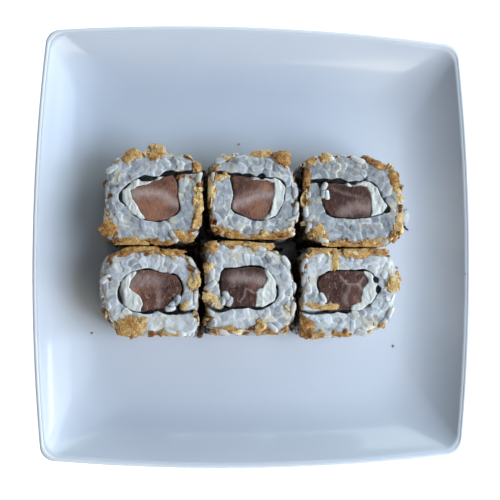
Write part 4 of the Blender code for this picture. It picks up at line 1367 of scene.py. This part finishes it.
def makeCrust(number, paints):
    # small chips of each kind on the side and the upper edge, and crumbs fallen beside them
    look = crustLook
    draw = np.random.default_rng(500 + number)
    loop = outlineOf(number, "filling", 80)
    clouds, tones, reliefs = [], [], []
    for kind, (count, sizes, thin, bend, topShare, sink) in enumerate(look["kinds"]):
        spots, facing = rimSpots(number, count, draw, topShare)
        crowded = beside(number, spots[:, :2]) < look["crowded"]
        spots = spots - unitWay(facing) * (sink + look["crowdedSink"] * crowded)[:, None]
        count = len(spots)
        length = draw.uniform(0, 1, count) ** 1.5 * (sizes[1] - sizes[0]) + sizes[0]
        width = length * draw.uniform(*look["widths"], count)
        thick = np.clip(length * thin * draw.uniform(0.6, 1.2, count), *look["thickness"])
        curl = draw.normal(0, 1, count) * bend * length
        facing = facing + draw.normal(0, 0.28, facing.shape)
        size = np.column_stack([length, width, thick])
        spin = draw.uniform(0, math.pi, count)
        cloud, relief = flakeCloud(spots, facing, size, spin, curl, number * 31 + kind)
        flat = spots[:, :2]
        clear = (nearTail(number, flat) > look["tail"]) & (depthIn(flat, loop) < -look["filling"])
        clouds.append(cloud[clear])
        reliefs.append(relief[clear])
        tones.append(np.clip(draw.normal(0.50, 0.30, count), 0, 1)[clear])
    spots, facing = fallenSpots(number, draw)
    count = len(spots)
    size = draw.uniform(1.0, 2.8, (count, 1)) * (1, 0.75, 0.5)
    spin = draw.uniform(0, math.pi, count)
    cloud, relief = flakeCloud(spots, facing, size, spin, np.zeros(count), number * 31 + 9)
    clouds.append(cloud)
    reliefs.append(relief)
    # painted shade: fallen crumbs get darker tones, lying in the shaded gaps
    tones.append(draw.uniform(0.0, 0.5, count))
    points = np.concatenate(clouds)
    faces = blobGrid(len(points), look["rings"], look["around"])
    tone = np.repeat(np.concatenate(tones), points.shape[1])
    points = fitted(number, points).reshape(-1, 3)
    pieceFrom(
        f"onionCrumbs_{number}", placed(number, points), faces, paints["onion"],
        [f"rice_{number}"], {
            # gap: painted shade in the narrow gaps between slices
            "tone": tone, "relief": np.concatenate(reliefs).ravel(), "gap": gapShadeAt(number, points),
        }, sharp=48,
    )


def clumpLumps(x, y, length, width, degrees, tone, draw):
    # one flake as lumps: a long one is a bent strip with three crumbs on it, a broad one is a
    # heap spread over its ellipse by the golden angle, with a flat piece on top. A lump is its
    # place, length, width, height, turn, tone and rise.
    goldenAngle = 2.39996
    turn = math.radians(degrees)
    c, s = math.cos(turn), math.sin(turn)
    broad = width / length > 0.55
    heap = int(length * width / 4.5) if broad else 3
    lumps = []
    for k in range(heap):
        if broad:
            share = math.sqrt((k + 0.5) / heap) * 0.38
            along = share * length * math.cos(k * goldenAngle)
            across = share * width * math.sin(k * goldenAngle)
            big = draw.uniform(2.4, 4.2)
        else:
            big = draw.uniform(1.4, 2.2)
            along, across = (k - 1) * length * 0.3, draw.uniform(-0.3, 0.3) * width
        lumps.append((
            x + along * c - across * s, y + along * s + across * c, big,
            big * draw.uniform(0.6, 0.9), min(big * 0.7, 2.6), turn + draw.uniform(-1.2, 1.2),
            tone + draw.normal(0, 0.12), draw.uniform(-0.4, 0.25) if broad else 0.2,
        ))
    if broad:
        lumps.append((x, y, length * 0.85, width * 0.88, 1.9, turn, tone + 0.02, 0.6))
    else:
        lumps.append((x, y, length, width, min(width * 0.7, 2.0), turn, tone, 0.0))
    return lumps


def makeClumps(number, paints):
    # the large flakes, finer: every lump is a blob pushed in and out by noise in its own size,
    # bent sideways by a parabola
    look = crustLook
    rings, around = look["clumpRings"], look["clumpAround"]
    draw = np.random.default_rng(900 + number)
    lumps = [lump for clump in look["clumps"][number] for lump in clumpLumps(*clump, draw)]
    x, y, length, width, height, turn, tone, rise = np.array(lumps).T
    count = len(lumps)
    still = np.zeros(count)
    unit = blobShape(rings, around, 3.0)
    size = np.column_stack([length, width, height])
    where = unit[None] * size[:, None, :] / 2
    where = where + np.arange(count)[:, None, None] * 17 + number * 5
    ridge = 1 - 2 * np.abs(noiseAt(where, 1.1, 8))
    relief = layered(where, look["clumpWaves"]) + look["clumpRidges"] * ridge
    rough = np.where(height < 1.95, 0.75, 1.15)[:, None] * relief  # flat pieces are smoother
    shape = unit[None] * (1 + rough)[..., None] * size[:, None, :] / 2
    bow = look["bow"] * length[:, None] * (unit[None, :, 0] ** 2 - 0.3)
    shape[..., 1] += bow * draw.choice([-1, 1], count)[:, None]
    turned = np.einsum("nij,nkj->nki", turnsFrom(turn, still, still), shape)
    spots = np.column_stack([x, y, sliceHeight - look["clumpSunk"] + rise])
    points = fitted(number, turned + spots[:, None, :])
    tone = np.repeat(np.clip(tone, 0, 1), points.shape[1])
    pieceFrom(
        f"onionFlakes_{number}", placed(number, points.reshape(-1, 3)),
        blobGrid(count, rings, around), paints["onion"], [f"rice_{number}"],
        {"tone": tone, "relief": relief.ravel()}, sharp=40,
    )


# loose bits on the plate, by their finish: x, y, length, width, turn in degrees, tone
looseLook = {
    "thickness": 0.6,
    "onion": (
        (78.8, -61.0, 0.9, 0.6, 0, 0.1), (-6.0, 43.5, 0.8, 0.6, 30, 0.4),
        (60.5, -41.5, 1.0, 0.7, 70, 0.3), (-66.5, -36.0, 0.8, 0.6, 10, 0.3),
    ),
    "nori": ((66.3, 8.8, 2.1, 0.5, -40, 0.0), (65.7, 9.5, 0.9, 0.5, 20, 0.0)),
    "rice": ((65.9, 13.4, 5.4, 2.7, 84, 0.75), (88.0, -11.0, 0.9, 0.6, 0, 0.5)),
}


def makeLoose(paints):
    # crumbs that fell on the glaze, each resting on the wall or floor under it
    for kind, slot in (("onion", "cooked_rice"), ("nori", "nori"), ("rice", "cooked_rice")):
        x, y, length, width, degrees, tone = np.array(looseLook[kind]).T
        count = len(x)
        high = width * 0.5 if kind == "rice" else np.full(count, looseLook["thickness"])
        inset = plateLook["half"] - np.maximum(np.abs(x), np.abs(y))
        z = wallHeight(inset - plateLook["lip"] / 2) + high * 0.45
        spots, size = np.column_stack([x, y, z]), np.column_stack([length, width, high])
        up = np.tile((0.0, -1e-3, 1.0), (count, 1))
        curl = 0.1 * length * (kind == "nori")
        cloud, relief = flakeCloud(spots, up, size, np.radians(degrees), curl, 77)
        faces = blobGrid(count, crustLook["rings"], crustLook["around"])
        empty = np.zeros(relief.size)
        fields = {"relief": relief.ravel(), "stain": empty, "rimLight": empty}
        fields["tone"] = np.repeat(tone, cloud.shape[1])
        points = cloud.reshape(-1, 3)
        pieceFrom(f"{kind}OnPlate", points, faces, paints[kind], attributes=fields)


# finishes: colours are sRGB from 0 to 255, and linear ones from 0 to 1
glazeFinish = {
    "body": ((0.640, 0.68, 0.750), (0.680, 0.72, 0.790)),  # linear
    "rim": (0.84, 0.87, 0.90),  # painted highlight on the rim
    "highlightFrom": 20.5,  # height where the painted highlight starts
    "foot": (0.62, 0.58, 0.52),
    "footUpTo": 0.35,
}


def glazePaint():
    # bluish white glaze, whitened on the rim by a painted highlight, bare clay on the foot
    look = glazeFinish
    paint = Paint("glaze", Roughness=0.12, IOR=1.5, Coat_IOR=1.5)
    cloud = paint.noise(26.0, 3.0)
    speck = paint.noise(1.2, 2.0)
    height = paint.add("ShaderNodeSeparateXYZ", {}, {0: paint.here()}, out=2)
    bare = (1.0 - (height / (look["footUpTo"] * mm))).clamped()
    # painted highlight: whiter on the rim, above a given height
    rim = ((height - look["highlightFrom"] * mm) * 700.0).clamped()
    colour = paint.mixed(rim * 0.8, paint.mixed(cloud, *look["body"]), look["rim"])
    colour = paint.mixed(bare, colour, look["foot"])
    paint.set(Base_Color=colour, Roughness=0.10 + 0.06 * paint.noise(9.0, 2.0) + 0.5 * bare)
    paint.set(Normal=paint.bump(cloud * 0.6 + speck * 0.06, 0.14))
    return paint.material


riceFinish = {
    "milk": (
        (0.0, (134, 137, 140)), (0.35, (178, 181, 186)), (0.7, (218, 220, 221)),
        (1.0, (250, 250, 246)),
    ),
    # the colour of the painted highlight along the grains' rims
    "rim": (244, 244, 242),
    "cream": (226, 216, 188),
    "stain": (176, 142, 98),
    # the colour of the painted shade in the gaps between slices
    "gap": (58, 34, 16),
    "facet": 1.5,  # size of the flat spots that shine
    "scatter": 2.3,
    "relief": 0.24,
}


def ricePaint():
    # milky, translucent and wet: pale grains with darker hearts and a painted highlight on
    # their rims, cream in places, brown where the onion's oil has soaked in, and painted shade
    # down in the gaps between slices
    look = riceFinish
    paint = Paint(
        "rice", Subsurface_Weight=0.95, Subsurface_Radius=(1.0, 0.9, 0.8),
        Subsurface_Scale=look["scatter"] * mm, IOR=1.4, Coat_Roughness=0.12,
    )
    cloud = paint.noise(2.2, 3.0)
    fine = paint.noise(0.5, 2.0)
    stain = paint.attribute("stain")
    level = (paint.attribute("tone") * 0.8 + cloud * 0.4 + fine * 0.16 - 0.175).clamped()
    # painted highlight along the grains' rims
    rim = (paint.attribute("rimLight") * 0.5).clamped()
    colour = paint.mixed(rim, paint.ramp(level, asStops(*look["milk"])), asColour(*look["rim"]))
    cream = ((paint.noise(6.0, 2.0) - 0.52) * 5.0).clamped()
    soaked = (cream * 0.65 + stain * 0.5).clamped()
    colour = paint.mixed(soaked, colour, asColour(*look["cream"]))
    colour = paint.mixed((stain * 0.85).clamped(), colour, asColour(*look["stain"]))
    # painted shade down in the narrow gaps between slices
    colour = paint.mixed(paint.attribute("gap") * 0.92, colour, asColour(*look["gap"]))
    cells = {"Scale": 1 / (look["facet"] * mm), "Vector": paint.here()}
    facets = paint.add("ShaderNodeTexVoronoi", {}, cells)
    paint.set(Base_Color=colour, Roughness=0.14 + 0.2 * fine, Coat_Weight=0.3 + 0.5 * cloud)
    relief = facets * 0.5 + cloud * 0.4 + fine * 0.25
    paint.set(Normal=paint.bump(relief, look["relief"]))
    return paint.material


def noriPaint():
    # wet seaweed: green-black with a fine pitted surface
    paint = Paint("nori", IOR=1.45)
    cloud = paint.noise(1.6, 4.0)
    colour = paint.ramp(cloud, [(0.3, (0.0032, 0.0042, 0.0048)), (0.75, (0.011, 0.014, 0.015))])
    paint.set(Base_Color=colour, Roughness=0.32 + 0.3 * cloud)
    paint.set(Normal=paint.bump(paint.noise(0.35, 3.0), 0.12))
    return paint.material


salmonFinish = {
    "meat": (
        (0.0, (72, 48, 42)), (0.35, (120, 82, 69)), (0.65, (160, 114, 91)), (1.0, (200, 142, 102)),
    ),
    "fat": ((182, 156, 149), (212, 190, 182)),
    "vein": (196, 172, 160),
    # the colour of the painted glints, small white specks on the meat
    "glintSpeck": (205, 186, 178),
    "scatter": 1.2,
    "relief": 0.2,
}


def salmonPaint():
    # raw meat: orange-brown muscle in fine fibres, milky fat bands, thin white veins where a
    # smooth noise is near its middle value, broken up by another, and painted glints as small
    # white specks
    look = salmonFinish
    paint = Paint(
        "salmon", Subsurface_Weight=0.35, Subsurface_Radius=(1.0, 0.35, 0.2),
        Subsurface_Scale=look["scatter"] * mm, IOR=1.42, Coat_Roughness=0.15,
    )
    streak = paint.noise(1.0, 4.0, 0.6, paint.stretched((2.6, 0.5, 1.0), (0, 0, 0.15)))
    fibre = ((streak - 0.5) * 2.4 + 0.5).clamped()
    blotch = paint.noise(4.0, 3.0)
    glintSpeck = paint.noise(0.5, 2.0)
    level = (paint.attribute("meat") + 0.50 * blotch + 0.32 * fibre - 0.39).clamped()
    meat = paint.ramp(level, asStops(*look["meat"]))
    milky = paint.mixed(blotch, *(asColour(*colour) for colour in look["fat"]))
    fat = (paint.attribute("fat") * (0.72 + 0.32 * fibre)).clamped()
    colour = paint.mixed(fat * 0.92, meat, milky)
    winding = paint.noise(3.0, 1.5, 0.5, paint.stretched((1.3, 0.8, 1.0), (0, 0, 0.5))) - 0.5
    line = (1.0 - winding * winding * 1100.0).clamped()
    broken = ((paint.noise(2.0, 2.0) - 0.46) * 6.0).clamped()
    vein = line * broken * paint.attribute("veins") * 0.7
    colour = paint.mixed(vein, colour, asColour(*look["vein"]))
    # painted glints: small white specks
    paintedGlints = ((glintSpeck - 0.66) * 10.0).clamped()
    colour = paint.mixed(paintedGlints * 0.4, colour, asColour(*look["glintSpeck"]))
    paint.set(Base_Color=colour, Roughness=0.22 + 0.2 * fibre, Coat_Weight=0.6 * blotch)
    paint.set(Normal=paint.bump(fibre * 0.5 + glintSpeck * 0.3, look["relief"]))
    return paint.material


def cheesePaint():
    # cream cheese: warm white, streaked by the knife, soft sheen
    paint = Paint(
        "cheese", Subsurface_Weight=0.4, Subsurface_Radius=(1.0, 0.9, 0.75),
        Subsurface_Scale=1.5 * mm, IOR=1.4,
    )
    streak = paint.noise(1.1, 3.0, 0.5, paint.stretched((1.0, 0.35, 1.0)))
    colour = paint.ramp(streak, asStops((0.3, (198, 198, 193)), (0.7, (228, 228, 221))))
    paint.set(Base_Color=colour, Roughness=0.35 + 0.25 * streak)
    paint.set(Normal=paint.bump(streak, 0.3))
    return paint.material


onionFinish = {
    "fried": (
        (0.0, (49, 25, 11)), (0.28, (121, 70, 33)), (0.5, (170, 118, 60)), (0.75, (206, 163, 98)),
        (1.0, (238, 210, 156)),
    ),
    # the colour of the painted shade in the gaps between slices
    "gap": (52, 29, 13),
    "scatter": 0.8,
    "relief": 0.6,
}


def onionPaint():
    # fried onion: pale gold to dark brown pieces with darker pores and paler raised edges, and
    # painted shade down in the gaps between slices
    look = onionFinish
    paint = Paint(
        "onion", Subsurface_Weight=0.12, Subsurface_Radius=(1.0, 0.5, 0.2),
        Subsurface_Scale=look["scatter"] * mm, IOR=1.45,
    )
    cloud = paint.noise(1.7, 3.0)
    pore = paint.noise(0.55, 3.0)
    tone, relief = paint.attribute("tone"), paint.attribute("relief")
    level = (tone * 0.80 + cloud * 0.8 + pore * 0.7 + relief * 0.6 - 0.66).clamped()
    colour = paint.ramp(level, asStops(*look["fried"]))
    # painted shade down in the narrow gaps between slices
    colour = paint.mixed(paint.attribute("gap") * 0.85, colour, asColour(*look["gap"]))
    paint.set(Base_Color=colour, Roughness=0.28 + 0.35 * pore, Coat_Weight=0.5 * cloud)
    paint.set(Normal=paint.bump(pore * 0.9 + cloud * 0.6, look["relief"]))
    return paint.material


def floorPaint():
    # pale paper, a little uneven, that glows enough to stay light under the plate's shadow
    paint = Paint("paleFloor", Roughness=0.9)
    shade = paint.noise(300.0, 2.0)
    paint.set(Base_Color=paint.mixed(shade, (0.84, 0.85, 0.86), (0.88, 0.89, 0.90)))
    paint.set(Emission_Color=(1.0, 1.0, 1.0, 1.0), Emission_Strength=0.8)
    return paint.material


# studio
studioLook = {
    "floorSize": 6.0,  # metres
    "lights": {
        # place, size, power, colour, whether glossy surfaces mirror it
        "overhead": ((0.56, -0.19, 0.81), (0.60, 0.60), 8.4, (0.67, 0.81, 1.0), False),
        "window": ((0.93, -0.05, 0.34), (1.60, 0.48), 5.7, (0.65, 0.80, 1.0), True),
        "front": ((0.60, -0.75, 0.50), (0.90, 0.50), 5.0, (1.0, 0.90, 0.70), True),
        "behind": ((0.40, 0.88, 0.38), (1.80, 0.50), 7.2, (0.88, 1.0, 0.98), True),
        "low": ((1.50, -0.02, 0.09), (0.30, 0.12), 1.0, (0.95, 0.98, 1.0), True),
        "room": ((-0.90, -0.22, 0.48), (0.90, 0.80), 0.4, (1.0, 0.82, 0.62), False),
    },
    "world": (1.0, 0.95, 0.88),
    "worldStrength": 0.02,
}


def makeStudio():
    # a flat floor, and lamps that all look at the plate's middle
    half = studioLook["floorSize"] / 2
    corners = [(-half, -half, 0), (half, -half, 0), (half, half, 0), (-half, half, 0)]
    mesh = bpy.data.meshes.new("studioFloor")
    mesh.from_pydata(corners, [], [(0, 1, 2, 3)])
    mesh.materials.append(floorPaint())
    floor = bpy.data.objects.new("studioFloor", mesh)
    bpy.context.scene.collection.objects.link(floor)
    for name, (place, size, power, colour, mirrored) in studioLook["lights"].items():
        lamp = bpy.data.lights.new(name + "Light", "AREA")
        lamp.shape = "RECTANGLE"
        lamp.size, lamp.size_y = size
        lamp.energy = power
        lamp.color = colour
        holder = bpy.data.objects.new(name + "Light", lamp)
        holder.location = place
        holder.rotation_euler = (-Vector(place)).to_track_quat("-Z", "Y").to_euler()
        holder.visible_glossy = mirrored
        bpy.context.scene.collection.objects.link(holder)
    world = bpy.data.worlds.new("studioWorld")
    world.use_nodes = True
    background = world.node_tree.nodes["Background"]
    background.inputs["Color"].default_value = (*studioLook["world"], 1.0)
    background.inputs["Strength"].default_value = studioLook["worldStrength"]
    bpy.context.scene.world = world
    bpy.context.scene.view_settings.view_transform = "Standard"


cameraLook = {
    "place": (-0.0582, -0.0259, 0.442),  # metres
    "turn": (3.2, -7.48, 0.21),  # degrees
    "lens": 75.18,
    "sensor": 36.0,
}


def makeCamera():
    # the photo's own angle, worked out from the plate's rim
    data = bpy.data.cameras.new("photoCamera")
    data.lens, data.sensor_width = cameraLook["lens"], cameraLook["sensor"]
    data.clip_start = 0.01
    camera = bpy.data.objects.new("photoCamera", data)
    camera.location = cameraLook["place"]
    camera.rotation_euler = [math.radians(v) for v in cameraLook["turn"]]
    bpy.context.scene.collection.objects.link(camera)
    bpy.context.scene.camera = camera


def main():
    # camera, lamps and finishes first, then the plate, each slice and the loose bits
    makeCamera()
    makeStudio()
    print("studio ready")
    paints = {
        "rice": ricePaint(), "nori": noriPaint(), "salmon": salmonPaint(),
        "cheese": cheesePaint(), "onion": onionPaint(),
    }
    makePlate(glazePaint())
    print("plate made")
    for number in slices:
        makeRice(number, paints)
        makeNori(number, paints)
        makeSalmon(number, paints)
        makeCheese(number, paints)
        makeCrust(number, paints)
        makeClumps(number, paints)
        print("slice", number, "made")
    makeLoose(paints)
    print("loose bits made")


main()
